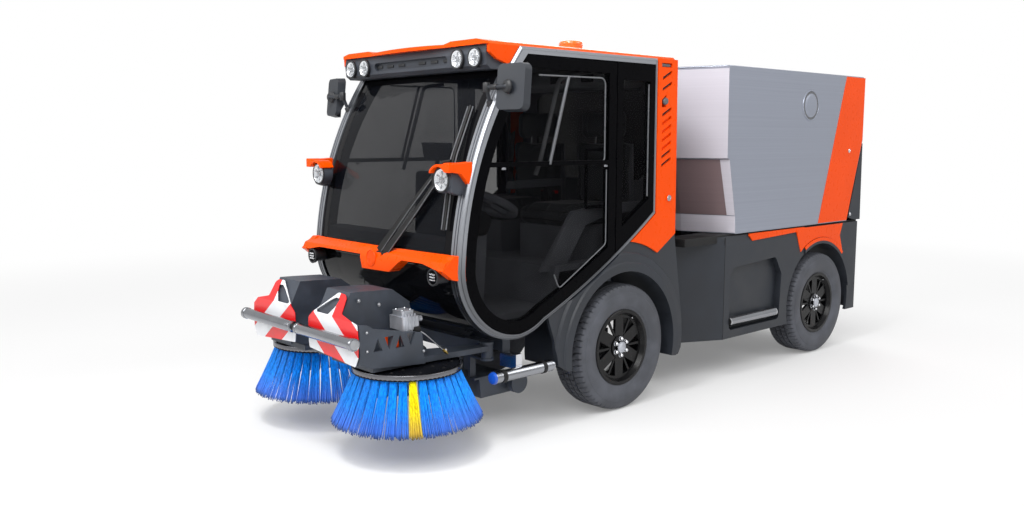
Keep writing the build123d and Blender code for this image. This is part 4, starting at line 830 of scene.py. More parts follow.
class SWEEPER_OT_studio(bpy.types.Operator):
    """Set up the pale floor, grey in a painted shadow round the machine, the soft lamps and the camera"""

    bl_idname = "sweeper.studio"
    bl_label = "Studio"

    def execute(self, context):
        studio = context.scene.sweeper_studio
        bpy.ops.object.select_all(action="DESELECT")
        bpy.ops.mesh.primitive_circle_add(vertices=96, radius=60, fill_type="NGON")
        floor = context.object
        floor.name = "studio_floor"
        ground = Finish("studio_ground", {"Specular IOR Level": 0.15})
        grain = ground.noise(1.5, detail=4)
        across, along, _ = ground.axes()
        # Painted shadow: the floor stays grey within a box round the machine, shifted towards -X, and gives way to
        # white glow with distance from that box
        side = ((across + 0.55).math("ABSOLUTE") - 1.15).math("MAXIMUM", 0.0)
        end = ((along - 0.2).math("ABSOLUTE") - 2.2).math("MAXIMUM", 0.0)
        reach = (side * side + end * end).math("POWER", 0.5)
        colour = tuple(studio.ground)
        tint = ground.blend(grain, shade(colour, 0.99), shade(colour, 1.01))
        ground.made({"Base Color": tint, "Roughness": ground.span(grain, 0.3, 0.7, 0.6, 0.7)})
        white = ground.node("Emission", {}, {"Color": (1, 1, 1, 1), "Strength": 1.0})
        fade = (
            ground.span(reach, -0.3, 1.5) * 0.6 + ground.span(reach, 2.5, 7.0) * 0.25 + 0.15
        ) * ground.backdrop_seen(0.5)
        ground.ends(
            ground.node("MixShader", {}, {0: fade, 1: Wire(ground, ground.shader.outputs[0]), 2: white}),
            "Material Output"
        )
        floor.data.materials.append(ground.material)
        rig.stage(floor)

        for name, power, size, spot, aim in (
            ("key_lamp", 300, 4.5, (3.6, -4.6, 5.4), (0.2, -0.3, 0.8)),
            ("front_lamp", 175, 3.5, (-2.2, -7.0, 4.6), (0, -0.9, 0.8)),
            ("side_lamp", 165, 4.0, (5.2, 3.0, 5.4), (0.3, 0.6, 0.9)),
            ("back_lamp", 160, 4.0, (-3.5, 5.0, 4.2), (0, 0.8, 1.0)),
            ("over_lamp", 150, 1.2, (0.9, -3.4, 5.2), (0.4, 0.5, 1.65)),
        ):
            bpy.ops.object.light_add(type="AREA", location=spot)
            lamp = context.object
            lamp.name, lamp.data.energy, lamp.data.size = name, power, size
            lamp.rotation_euler = (Vector(aim) - Vector(spot)).to_track_quat("-Z", "Y").to_euler()

        world = bpy.data.worlds.new("studio_world")
        context.scene.world = world
        sky = Graph(world)
        soft = sky.node("Background", {}, {"Color": (1, 1, 1, 1), "Strength": 0.42})
        white = sky.node("Background", {}, {"Color": (1, 1, 1, 1), "Strength": 1.0})
        sky.ends(sky.node("MixShader", {}, {0: sky.backdrop_seen(0.5), 1: soft, 2: white}), "World Output")

        bpy.ops.object.camera_add(location=studio.place, rotation=(pi / 2 - studio.dip, 0, studio.azimuth))
        camera = context.object
        camera.name, camera.data.lens, camera.data.sensor_width = "studio_camera", studio.lens, 36
        context.scene.camera = camera
        context.scene.view_settings.view_transform = "Standard"
        return {"FINISHED"}


STEPS_A_BLOCK = 5  # faces round the tyre to one block of tread
WHEELS = [
    (f"{end}_{side}", sign, y) for end, y in (("front", FRONT), ("rear", REAR)) for side, sign in SIDES
]


class SWEEPER_OT_tyres(bpy.types.Operator):
    """Model the tyres: ribbed side walls, four ribs of tread and cut shoulder blocks"""

    bl_idname = "sweeper.tyres"
    bl_label = "Tyres"

    def execute(self, context):
        sizes = context.scene.sweeper_sizes
        low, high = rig.box("tyre_front_left")
        centre_x, crown = (low.x + high.x) / 2, (high.z - low.z) / 2
        floor = crown - sizes.tread_depth
        half = (
            (0.0725, 0.1975), (0.0877, 0.1975), (0.0877, 0.2095), (0.093, 0.2185), (0.0945, 0.2235),
            (0.0965, 0.2245), (0.1035, 0.244), (0.1072, 0.266), (0.1068, 0.286), (0.104, 0.301),
            (0.1018, 0.3035), (0.1005, 0.311), (0.0988, 0.322), (0.0966, 0.332), (0.0905, 0.3395),
            (0.0775, 0.3437), (0.062, crown), (0.0425, crown), (0.0415, floor), (0.0325, floor),
            (0.0315, crown), (0.0045, crown), (0.0035, floor)
        )
        left = [(-x, r) for x, r in half]
        ring = left + [(x, r) for x, r in reversed(half)]
        inner = [(0.085, 0.262), (0.062, 0.322), (-0.062, 0.322), (-0.085, 0.262), left[0]]
        steps = sizes.tread_blocks * STEPS_A_BLOCK
        tyre = lathe("tread", [(centre_x + x, r) for x, r in ring + inner], (0, 0, 0), X, steps, 28)
        step = 2 * pi / steps
        edit(tyre)
        bpy.ops.mesh.select_all(action="DESELECT")
        leave()
        shoulder_from, shoulder_to, rib_from, rib_to = 0.046, 0.098, 0.006, 0.031  # off the tyre's middle
        shoulder_radius, wall, slant = 0.324, 0.93, 30
        for face in tyre.data.polygons:
            spot = face.center
            across = abs(spot.x - centre_x)
            radius = (spot.y**2 + spot.z**2) ** 0.5
            slot = round(angle_round(spot.y, spot.z) / step + across * slant) % STEPS_A_BLOCK
            upright = abs(face.normal.x) < wall
            shoulder = shoulder_from < across < shoulder_to and radius > shoulder_radius and upright
            rib = rib_from < across < rib_to and radius > crown - 0.002
            face.select = (shoulder and slot == 0) or (rib and slot == 2)
        bpy.ops.object.mode_set(mode="EDIT")
        bpy.ops.mesh.select_mode(type="FACE")
        bpy.ops.mesh.extrude_region_shrink_fatten(
            TRANSFORM_OT_shrink_fatten={"value": -0.8 * sizes.tread_depth, "use_even_offset": False}
        )
        bpy.ops.mesh.select_mode(type="VERT")
        leave()
        for name, sign, y in WHEELS:
            piece = copied(tyre, "tread_" + name, (0, y, HUB_Z), flip=sign < 0)
            place(piece, "tyre", "wheel_" + name)
            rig.replaces(piece, "tyre_" + name)
        bpy.data.objects.remove(tyre)
        return {"FINISHED"}


def angle_round(y, z):
    """Angle round the X axis, from 0 to a full turn."""
    return Vector((y, z)).angle_signed(Vector((1, 0)), 0) % (2 * pi)


class SWEEPER_OT_wheel_trim(bpy.types.Operator):
    """Model the nuts, caps, valves and spoke ribs of the wheels"""

    bl_idname = "sweeper.wheel_trim"
    bl_label = "Wheel trim"

    def execute(self, context):
        count = context.scene.sweeper_sizes.nuts
        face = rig.box("rim_front_left")[1].x
        hub = face - 0.0165
        nut = lathe(
            "nut", [(-0.002, 0), (-0.002, 0.0135), (0.003, 0.0135), (0.003, 0.0105), (0.016, 0.0105),
                (0.019, 0.008), (0.019, 0)], (hub, 0, 0), X, 6, 20
        )
        nuts = ringed(moved(nut, (0, 0, 0.046)), count)
        cap = lathe(
            "cap", [(0.01, 0.0305), (0.0155, 0.0305), (0.0165, 0.027), (0.0155, 0.024), (0.0155, 0.022),
                (0.0185, 0.018), (0.0195, 0.008), (0.0195, 0)], (hub, 0, 0), X, 32
        )
        rib = plate(
            "rib", [(face - 0.031, 0.0055, 0.058), (face - 0.031, 0.009, 0.172),
                (face - 0.031, -0.009, 0.172), (face - 0.031, -0.0055, 0.058)], (0.009, 0, 0), 0.003
        )
        ribs = ringed(moved(rib, turn=-pi / count, axis="X"), count)
        lip = lathe(
            "lip", [(-0.002, 0.1885), (0.0015, 0.1905), (0.0015, 0.2035), (-0.002, 0.2085),
                (-0.006, 0.2085), (-0.006, 0.1885), (-0.002, 0.1885)], (face, 0, 0), X, 72
        )
        valve = tube("valve", [(face - 0.03, 0.09, 0.155), (face - 0.006, 0.088, 0.151)], 0.0035)
        dark = joined("dark", [ribs, lip])
        bright = joined("bright", [nuts, valve])
        for name, sign, y in WHEELS:
            for stem, part, finish, slot in (
                ("nuts", bright, "chrome", "chrome"), ("hub_cap", cap, "alloy", "chrome"),
                ("spokes", dark, "rim", "rim_paint")
            ):
                twin = copied(part, f"{stem}_{name}", (0, y, HUB_Z), flip=sign < 0)
                place(twin, finish, "wheel_" + name, slot)
        for part in (bright, cap, dark):
            bpy.data.objects.remove(part)
        return {"FINISHED"}


class SWEEPER_OT_brushes(bpy.types.Operator):
    """Model the side brushes: fanned tufts, a marker tuft, the plate's rim, bolts and hub"""

    bl_idname = "sweeper.brushes"
    bl_label = "Brushes"

    def execute(self, context):
        sizes = context.scene.sweeper_sizes
        low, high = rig.box("brush_bristles_left")
        plate_low, plate_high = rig.box("brush_plate_left")
        deck = plate_high.z - 0.0097
        centre = Vector(((low.x + high.x) / 2, (low.y + high.y) / 2, deck))
        reach = (high.x - low.x) / 2
        rim = (plate_high.x - plate_low.x) / 2
        rng = random.Random(11)
        tufts = []
        for kind in range(4):
            strands = []
            for row, (inset, thick) in enumerate(((0.0, 0.0026), (0.012, 0.0032))):
                count = sizes.strands + 2 - 2 * row
                for k in range(count):
                    part = (k + rng.uniform(-0.22, 0.22)) / (count - 1) - 0.5
                    root = rim - 0.02 - inset
                    end = reach - 0.006 - inset - rng.uniform(0, 0.01)
                    fall = low.z + 0.002 + 0.012 * rng.random() + 0.4 * inset
                    sway = part * 0.053 + rng.uniform(-0.002, 0.002)
                    curl = 0.007 * rng.uniform(-1, 1)
                    points = []
                    for t in (0, 0.35, 0.7, 0.92, 1):
                        out = root + (end - root) * (0.9 * t + 0.1 * t * t)
                        drop = high.z + 0.012 + (fall - high.z) * t
                        points.append(
                            (out, part * 0.025 * (1 - t) + sway * t + curl * max(0, t - 0.7), drop)
                        )
                    strands.append(tube("strand", points, thick, sides=0))
            tufts.append(joined(f"tuft_{kind}", strands))
        pieces, marker = [], None
        for k in range(sizes.tufts):
            twin = copied(tufts[k % 4], "tuft", (centre.x, centre.y, 0), 2 * pi * k / sizes.tufts - 0.52)
            if k:
                pieces.append(twin)
            else:
                marker = twin
        for tuft in tufts:
            bpy.data.objects.remove(tuft)
        ring = joined("bristles", pieces)
        for left, right in zip(both(ring, "bristle", "brush_SIDE"), SIDES):
            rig.replaces(left, f"brush_bristles_{right[0]}")
        marker.name = "marker_tuft"
        both(marker, "marker", "brush_SIDE")

        hoop = lathe(
            "brush_rim", [(-0.024, rim - 0.003), (-0.022, rim), (-0.004, rim + 0.0012), (0, rim - 0.0008),
                (0.0014, rim - 0.004), (0.0014, rim - 0.01), (-0.024, rim - 0.01), (-0.024, rim - 0.003)],
            centre, Z, 72
        )
        both(hoop, "dark_metal", "brush_SIDE")
        screws = []
        for radius, count, head in ((0.212, 10, 0.0055), (0.15, 6, 0.0065)):
            screw = lathe(
                "screw", [(-0.001, head + 0.002), (0.0012, head + 0.0016), (0.0012, head),
                    (-0.0004, head * 0.8), (-0.0004, 0)], centre, Z, 16, 20
            )
            screws.append(
                ringed(moved(screw, (radius * cos(0.3), radius * sin(0.3), 0)), count, "Z", centre)
            )
        both(joined("brush_screws", screws), "seal", "brush_SIDE", slot="steel")
        boss = lathe(
            "brush_boss", [(-0.001, 0.086), (0.0035, 0.084), (0.0045, 0.079), (0.0045, 0.058),
                (0.0085, 0.052), (0.0085, 0.0465), (-0.001, 0.0465), (-0.001, 0.086)], centre, Z, 48
        )
        both(boss, "plate", "brush_SIDE")
        return {"FINISHED"}


HOPPER_FRONT = ((1.907, 0.924), (1.36, 0.93), (1.358, 0.952), (1.009, 1.025), (0.898, 1.034))


def front_at(height):
    """Y of the hopper's front corner at a height."""
    for (head, near), (foot, far) in zip(HOPPER_FRONT, HOPPER_FRONT[1:]):
        if height >= foot:
            return FRONT + near + (far - near) * (head - height) / (head - foot)


class SWEEPER_OT_hopper(bpy.types.Operator):
    """Model the hopper's painted band, its bolts, its blank boss, its front sheets and corner posts; the upper sheet,
    the foot band and the posts carry a painted highlight, the sheet between them painted shade with a reddish painted
    reflection
    """

    bl_idname = "sweeper.hopper"
    bl_label = "Hopper"

    def execute(self, context):
        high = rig.box("hopper_body")[1]
        side = high.x
        band = side_plate(
            "band", [(2.329, 1.9065), (2.5945, 1.9065), (2.5925, 1.476), (2.408, 0.902), (2.014, 0.902)],
            side - 0.0002, 0.0016, 0.0006
        )
        both(band, "paint", "hopper")
        for name, y, z, radius in (("band_bolt", 2.404, 1.393, 0.014), ("foot_bolt", 2.454, 0.942, 0.012)):
            bolt = lathe(
                name, [(0.001, radius), (0.004, radius), (0.0065, radius * 0.75), (0.0065, radius * 0.4),
                    (0.004, radius * 0.35), (0.004, 0)], at(side, y, z), X, 24
            )
            both(bolt, "chrome", "hopper")
        spot = at(side, 1.865, 1.697)
        boss = lathe(
            "side_boss", [(-0.001, 0.104), (0.0035, 0.102), (0.0045, 0.0985), (0.0035, 0.095),
                (0.0008, 0.093), (0.0008, 0.078), (0.0045, 0.072), (0.0062, 0.055), (0.0068, 0)],
            spot, X, 56
        )
        both(boss, "stainless", "hopper")
        groove = lathe(
            "side_boss_groove", [(0.0006, 0.0775), (0.0014, 0.0785), (0.0014, 0.0925), (0.0006, 0.0935),
                (0.0002, 0.085), (0.0006, 0.0775)], spot, X, 56
        )
        both(groove, "trim", "hopper")
        top, front = high.z, FRONT + 0.926
        rail = tube(
            "rim_rail", [(0, front - 0.105, top), (0.3, front - 0.105, top), (0.621, front + 0.004, top),
                (0.621, high.y - 0.05, top)], 0.0065, 0.02
        )
        both(rail, "stainless", "hopper")
        # Sheets just in front of the hopper's front face: the upper one and the foot band carry a painted highlight,
        # the middle one painted shade with a reddish painted reflection
        for name, foot, head, finish in (
            ("upper_skin", 1.361, 1.894, "pale_steel"), ("lower_skin", 1.011, 1.352, "warm_steel"),
            ("foot_band", 0.903, 1.007, "pale_steel")
        ):
            skins = []
            for start, end in (((0.6285, 0.0), (0.3, -0.105)), ((0.3, -0.105), (0.0, -0.105))):
                corners = ((start, foot), (end, foot), (end, head), (start, head))
                points = [(x, front_at(z) + back - 0.0018, z) for (x, back), z in corners]
                skins.append(plate("skin", points, (0, 0.0012, 0), 0))
            both(joined(name, skins), finish, "hopper")
        gap, slope = 0.0015, 0.319  # in front of the corner, and of the sheet beside it
        # The corner posts carry the painted highlight too
        for name, foot, head, foot_width, head_width in (
            ("foot_post", 0.903, 1.007, 0.047, 0.047), ("corner_post", 1.011, 1.353, 0.047, 0.056)
        ):
            corners = ((0, foot), (0, head), (head_width, head), (foot_width, foot))
            points = [(0.629 - inset, front_at(z) - gap - slope * inset, z) for inset, z in corners]
            both(plate(name, points, (0, -0.0035, 0), 0.001), "pale_steel", "hopper")
        return {"FINISHED"}


class SWEEPER_OT_accents(bpy.types.Operator):
    """Model the skirt's strip, the arch accents, the panel seams and the tail lamp cells"""

    bl_idname = "sweeper.accents"
    bl_label = "Accents"

    def execute(self, context):
        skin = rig.box("side_skirts")[1].x
        strip = side_plate(
            "skirt_strip", [(1.19, 0.874), (1.222, 0.842), (1.84, 0.864), (1.84, 0.888), (1.19, 0.888)],
            skin - 0.012, 0.0135
        )
        both(strip, "paint")
        hub = (2.055, HUB_Z + 0.01)
        rise = [radians(118 - 6.5 * k) for k in range(12)]

        def arc(radius):
            return [(hub[0] + radius * cos(a), hub[1] + radius * sin(a)) for a in rise]

        accent = [(1.735, 0.884), (1.765, 0.8), (1.8, 0.722)] + arc(0.449) + [(2.318, 0.8), (2.352, 0.884)]
        both(side_plate("arch_accent", accent, skin - 0.004, 0.0085, 0.002), "paint")
        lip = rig.box("rear_fenders")[1].x
        both(side_plate("arch_lip", arc(0.447) + arc(0.424)[::-1], lip - 0.005, 0.0065, 0.002), "paint")
        both(box("hopper_seat", at(0.43, 0.56, 0.848), at(0.606, 2.6, 0.8955), 0.004), "seal")
        for name, y, low, high in (("front_seam", 0.93, 0.252, 0.883), ("rear_seam", 1.8515, 0.74, 0.886)):
            seam = box(name, at(skin - 0.004, y - 0.0015, low), at(skin + 0.0008, y + 0.0015, high), 0.0005)
            both(seam, "seal")
        lens_low, lens_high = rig.box("rear_lamps")
        cell_height = (lens_high.z - lens_low.z) / 3
        for k, finish in enumerate(("red", "amber", "red")):
            cell = box(
                f"tail_cell_{k}", (0.457, lens_high.y - 0.002, lens_low.z + cell_height * k + 0.006),
                (0.553, lens_high.y + 0.004, lens_low.z + cell_height * (k + 1) - 0.006), 0.003
            )
            both(cell, finish, slot="lamp_red")
        return {"FINISHED"}


class SWEEPER_OT_lamps(bpy.types.Operator):
    """Model the lamps' bezels, reflectors, cores, vanes and lenses, and the ribs of bar and beacon"""

    bl_idname = "sweeper.lamps"
    bl_label = "Lamps"

    def execute(self, context):
        for name, x, y, z, radius in (
            ("roof_outer", 0.525, -0.96, 1.853, 0.0455), ("roof_inner", 0.396, -0.96, 1.853, 0.0455),
            ("pod", 0.537, -1.17, 1.291, 0.0555), ("low", 0.535, -1.222, 0.848, 0.0385)
        ):
            centre, bowl = at(x, y, z), radius - 0.006
            bezel = lathe(
                name + "_bezel", [(0.0, bowl), (-0.0085, bowl + 0.0005), (-0.0105, radius - 0.002),
                    (-0.008, radius + 0.0025), (0.006, radius + 0.0005), (0.006, bowl), (0.0, bowl)],
                centre, Y, 40
            )
            both(bezel, "dark_moulding")
            if name == "low":
                face = lathe(
                    "low_face", [(-0.0075, bowl + 0.0005), (-0.0085, bowl * 0.8), (-0.009, 0)],
                    centre, Y, 40
                )
                both(face, "black")
                beads = [
                    lathe("bead", [(-0.0082, bowl * 0.15), (-0.0112, bowl * 0.12), (-0.012, 0)],
                        at(x + dx * bowl, y, z + dz * bowl), Y, 10) for dx in (-0.52, -0.17, 0.17, 0.52)
                    for dz in (-0.42, 0.0, 0.42)
                ]
                both(joined("low_beads", beads), "reflector")
                continue
            mirror = lathe(
                name + "_reflector", [(-0.0006, 0), (-0.0006, bowl * 0.3), (-0.0015, bowl * 0.52),
                    (-0.0008, bowl * 0.56), (-0.004, bowl * 0.86), (-0.0072, bowl), (-0.0066, bowl)],
                centre, Y, 40
            )
            both(mirror, "reflector", slot="chrome")
            core = lathe(
                name + "_core", [(-0.001, bowl * 0.36), (-0.0062, bowl * 0.33), (-0.0066, bowl * 0.24),
                    (-0.003, bowl * 0.16), (-0.0026, 0)], centre, Y, 24
            )
            both(core, "dark_metal")
            vanes = []
            for turn in [pi / 3 * k + 0.4 for k in range(6)]:
                corners = ((0.4, turn, 0.001), (0.8, turn - 0.13, 0.0036), (0.8, turn + 0.13, 0.0036))
                points = [
                    at(x + bowl * out * cos(a), y - ahead, z + bowl * out * sin(a))
                    for out, a, ahead in corners
                ]
                vanes.append(plate("vane", points, (0, -0.0022, 0), 0))
            both(joined(name + "_vanes", vanes), "dark_metal")
            dome = lathe(
                name + "_lens", [(-0.0115, 0), (-0.0108, bowl * 0.5), (-0.0088, bowl * 0.94),
                    (-0.008, bowl), (-0.0072, bowl), (-0.0098, bowl * 0.5), (-0.0104, 0)], centre, Y, 40
            )
            both(dome, "lamp")
        for x in (0.06, 0.16, 0.26):
            rib = box(f"bar_rib_{round(x * 100)}", at(x, -0.941, 1.846), at(x + 0.055, -0.934, 1.86), 0.002)
            both(rib, "dark_moulding")
        low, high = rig.box("beacon")
        centre = ((low.x + high.x) / 2, (low.y + high.y) / 2, low.z)
        base = lathe(
            "beacon_base", [(0.0005, 0.064), (0.0005, 0.073), (0.01, 0.071), (0.013, 0.0665),
                (0.0125, 0.064), (0.0005, 0.064)], centre, Z, 40
        )
        place(base, "dark_moulding")
        for height in (0.022, 0.032, 0.042):
            ring = lathe(
                f"beacon_rib_{round(height * 1000)}", [(height, 0.0655), (height + 0.0025, 0.068),
                    (height + 0.005, 0.0655), (height + 0.0025, 0.064), (height, 0.0655)], centre, Z, 40
            )
            place(ring, "amber")
        return {"FINISHED"}


class SWEEPER_OT_guards(bpy.types.Operator):
    """Model the polished guard rollers, the warning plates and the rollers along the sides"""

    bl_idname = "sweeper.guards"
    bl_label = "Guards"

    def execute(self, context):
        guard_y, guard_z = -1.638, 0.59
        step_x, step_z, skirt_x, skirt_z = 0.6, 0.332, 0.618, 0.352
        tube_profile = [
            (0.0, 0), (0.0, 0.022), (0.003, 0.0275), (0.013, 0.0275), (0.016, 0.0255), (0.019, 0.0265),
            (0.467, 0.0265), (0.469, 0.0292), (0.488, 0.0292), (0.4915, 0.0275), (0.4925, 0.024),
            (0.491, 0.0225), (0.491, 0)
        ]
        roller = lathe(
            "guard_roller", [(x + 0.019, r) for x, r in tube_profile], at(0, guard_y, guard_z), X, 40
        )
        both(roller, "tube", "brush_arm_SIDE")
        disc = lathe(
            "guard_disc", [(0.4905, 0.0232), (0.4925, 0.0222), (0.4935, 0.012), (0.4935, 0)],
            at(0.019, guard_y, guard_z), X, 32
        )
        both(disc, "bright", "brush_arm_SIDE", slot="chrome")
        collar = lathe(
            "guard_collar", [(0.0005, 0), (0.0005, 0.017), (0.018, 0.017), (0.018, 0)],
            at(0, guard_y, guard_z), X, 24
        )
        both(collar, "seal", "brush_arm_SIDE")

        face = FRONT - 1.6045  # the warning plates' front
        outline = [
            (0.069, 0.503), (0.459, 0.476), (0.483, 0.52), (0.486, 0.6), (0.478, 0.668), (0.425, 0.68),
            (0.338, 0.7), (0.328, 0.775), (0.309, 0.79), (0.253, 0.793), (0.069, 0.652), (0.063, 0.64),
            (0.063, 0.536)
        ]
        opening = [
            (0.246, 0.768), (0.283, 0.766), (0.272, 0.728), (0.235, 0.683), (0.135, 0.683), (0.127, 0.694),
            (0.213, 0.752)
        ]
        panel = pierced(
            "warning_plate", [[(x, face, z) for x, z in loop] for loop in (outline, opening)],
            (0, 0.0035, 0), 0.0065
        )
        fold = 0.677
        edit(panel)
        bpy.ops.mesh.bisect(plane_co=(0, 0, fold), plane_no=(0, 0, 1))
        bpy.ops.mesh.select_all(action="DESELECT")
        leave()
        for vertex in panel.data.vertices:
            vertex.select = vertex.co.z > fold + 0.0002  # the peak, without the fold's own vertices
        bpy.ops.object.mode_set(mode="EDIT")
        bpy.ops.transform.rotate(value=radians(27), orient_axis="X", center_override=(0, face, fold))
        leave()
        done(panel, 20)
        for piece, (side, _) in zip(both(panel, "warning", "brush_arm_SIDE"), SIDES):
            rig.replaces(piece, "warning_panel_" + side)

        front_roller = lathe(
            "side_roller", [(0.0, 0), (0.0, 0.0225), (0.0025, 0.0285), (0.012, 0.0295), (0.014, 0.0292),
                (0.386, 0.0292), (0.388, 0.0302), (0.398, 0.0295), (0.4005, 0.022), (0.4005, 0)],
            at(step_x, -0.9235, step_z), Y, 40
        )
        both(front_roller, "tube")
        cap = lathe(
            "roller_cap", [(-0.0075, 0), (-0.007, 0.021), (-0.004, 0.0275), (0.006, 0.0312),
                (0.0085, 0.0312), (0.0085, 0)], at(step_x, -0.9235, step_z), Y, 40
        )
        both(cap, "blue")
        for name, y in (("step_clamp_front", -0.87), ("step_clamp_rear", -0.6)):
            clamp = lathe(
                name, [(0.0, 0.0288), (0.0, 0.0325), (0.022, 0.0325), (0.022, 0.0288), (0.0, 0.0288)],
                at(step_x, y, step_z), Y, 32
            )
            both(clamp, "seal")
        skirt_roller = lathe(
            "skirt_roller", [(0.0, 0), (0.0, 0.019), (0.003, 0.0262), (0.013, 0.0278), (0.016, 0.0272),
                (0.505, 0.0272), (0.508, 0.0278), (0.518, 0.0262), (0.521, 0.019), (0.521, 0)],
            at(skirt_x, 0.9995, skirt_z), Y, 40
        )
        both(skirt_roller, "tube")
        for name, y in (("roller_end_front", 0.994), ("roller_end_rear", 1.518)):
            end = lathe(
                name, [(0.0, 0), (0.001, 0.018), (0.002, 0.0245), (0.0075, 0.0245), (0.0085, 0.018),
                    (0.0095, 0)], at(skirt_x, y, skirt_z), Y, 32
            )
            both(end, "seal")
        return {"FINISHED"}


class SWEEPER_OT_sweep_arms(bpy.types.Operator):
    """Model the arms' bolts and shields, the brush motors' fittings and ribs and the spray nozzles"""

    bl_idname = "sweeper.sweep_arms"
    bl_label = "Sweep arms"

    def execute(self, context):
        small, large = 0.0075, 0.0095
        bolts = []
        outer, inner = 0.4873, 0.335
        for x, y, z, radius in (
            (outer, -1.56, 0.63, small), (outer, -1.56, 0.545, small), (outer, -1.12, 0.485, small),
            (outer, -1.25, 0.5, small), (inner, -1.5, 0.745, large), (inner, -1.39, 0.715, large)
        ):
            bolts.append(
                lathe("bolt", [(0.0, radius), (0.002, radius), (0.002, radius * 0.8), (0.006, radius * 0.8),
                    (0.0075, radius * 0.55), (0.0075, 0)], at(x, y, z), X, 6, 20)
            )
        both(joined("arm_bolts", bolts), "bright", "brush_arm_SIDE")

        low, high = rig.box("brush_motor_left")
        top = high.z
        fittings = []
        for x, y in ((0.372, -1.32), (0.418, -1.32), (0.372, -1.272), (0.418, -1.272)):
            fittings.append(
                lathe("screw", [(-0.004, 0.0062), (0.0035, 0.0062), (0.0048, 0.005), (0.0048, 0.0028),
                    (0.0025, 0.0024), (0.0025, 0)], at(x, y, top), Z, 6, 20)
            )
        for x, z in ((0.375, 0.64), (0.419, 0.64)):
            fittings.append(
                lathe("port", [(0.0, 0.0135), (0.011, 0.0135), (0.011, 0.0105), (0.018, 0.0105),
                    (0.018, 0.0075), (0.026, 0.0075), (0.026, 0)], at(x, -1.238, z), Y, 6, 20)
            )
        both(joined("motor_fittings", fittings), "bright", "brush_arm_SIDE")
        ribs = [
            box("rib", (high.x - 0.003, low.y + 0.012 + 0.017 * k, 0.575),
                (high.x + 0.0022, low.y + 0.019 + 0.017 * k, top - 0.012), 0.001) for k in range(4)
        ]
        both(joined("motor_ribs", ribs), "alloy", "brush_arm_SIDE")
        wand = tube(
            "spray_wand", [at(0.452, -1.262, 0.6), at(0.468, -1.228, 0.575), at(0.494, -1.132, 0.482)],
            0.0032, 0.012, 4
        )
        both(wand, "bright", "brush_arm_SIDE")
        nozzle = lathe(
            "spray_nozzle", [(0.0, 0.0034), (0.001, 0.0062), (0.012, 0.0062), (0.013, 0.0078),
                (0.026, 0.0078), (0.028, 0.005), (0.034, 0.0042), (0.034, 0)], at(0.4915, -1.14, 0.49),
            (0.026, 0.096, -0.093), 6, 20
        )
        both(nozzle, "brass", "brush_arm_SIDE")
        clip = box("spray_clip", at(0.44, -1.278, 0.585), at(0.464, -1.244, 0.612), 0.004)
        both(clip, "seal", "brush_arm_SIDE")
        shields = [
            box("shield", at(0.452, y - 0.016, 0.505), at(0.462, y + 0.016, 0.6), 0.003)
            for y in (-1.445, -1.385)
        ]
        both(joined("arm_shields", shields), "paint", "brush_arm_SIDE")
        return {"FINISHED"}


CHANNEL_HALF, CHANNEL_DEPTH = 0.012, 0.009  # a cushion's pressed-in channel


def swollen(name, low, high, rounding, cap, fill, pinch=()):
    """A rounded block blown up as cloth, no further than a cap, and pressed in along its channels."""
    piece = box(name, low, high, rounding, 4)
    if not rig.quick():
        modify(piece, "REMESH", mode="VOXEL", voxel_size=0.006)
        rest = [vertex.co.copy() for vertex in piece.data.vertices]
        alone(piece)
        cloth = piece.modifiers.new("Cloth", "CLOTH")
        cloth.settings.use_pressure = True
        cloth.settings.uniform_pressure_force = 4
        cloth.settings.tension_stiffness = cloth.settings.compression_stiffness = 30
        cloth.settings.effector_weights.gravity = 0
        for frame_number in range(1, 21):
            bpy.context.scene.frame_set(frame_number)
        bpy.ops.object.modifier_apply(modifier="Cloth")
        bpy.context.scene.frame_set(1)
        for vertex, start in zip(piece.data.vertices, rest):
            move = vertex.co - start
            if move.length > cap:
                vertex.co = start + move * (cap / move.length)
        modify(piece, "SMOOTH", factor=0.5, iterations=4)
        modify(piece, "SUBSURF", levels=1, render_levels=1)
        modify(piece, "DECIMATE", ratio=0.4)
    low, high = Vector(low), Vector(high)
    for axis, place_at, face_axis, way in pinch:
        for vertex in piece.data.vertices:
            away = abs(vertex.co[axis] - place_at)
            crown = (vertex.co[face_axis] - (low[face_axis] + high[face_axis]) / 2) * way
            if away < CHANNEL_HALF and crown > 0:
                vertex.co[face_axis] -= way * CHANNEL_DEPTH * (1 - (away / CHANNEL_HALF) ** 2)
    done(piece, 60)
    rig.padded(piece, fill=fill)
    return piece


def piped(piece, name, spot, normal, radius):
    """Piping round a pad where a plane cuts it."""
    loop = copied(piece, name)
    edit(loop)
    bpy.ops.mesh.bisect(plane_co=spot, plane_no=normal, clear_inner=True, clear_outer=True)
    leave()
    bpy.ops.object.convert(target="CURVE")
    loop = bpy.context.object
    loop.data.bevel_depth, loop.data.bevel_resolution = radius, 1
    bpy.ops.object.convert(target="MESH")
    return done(named(name), 60)


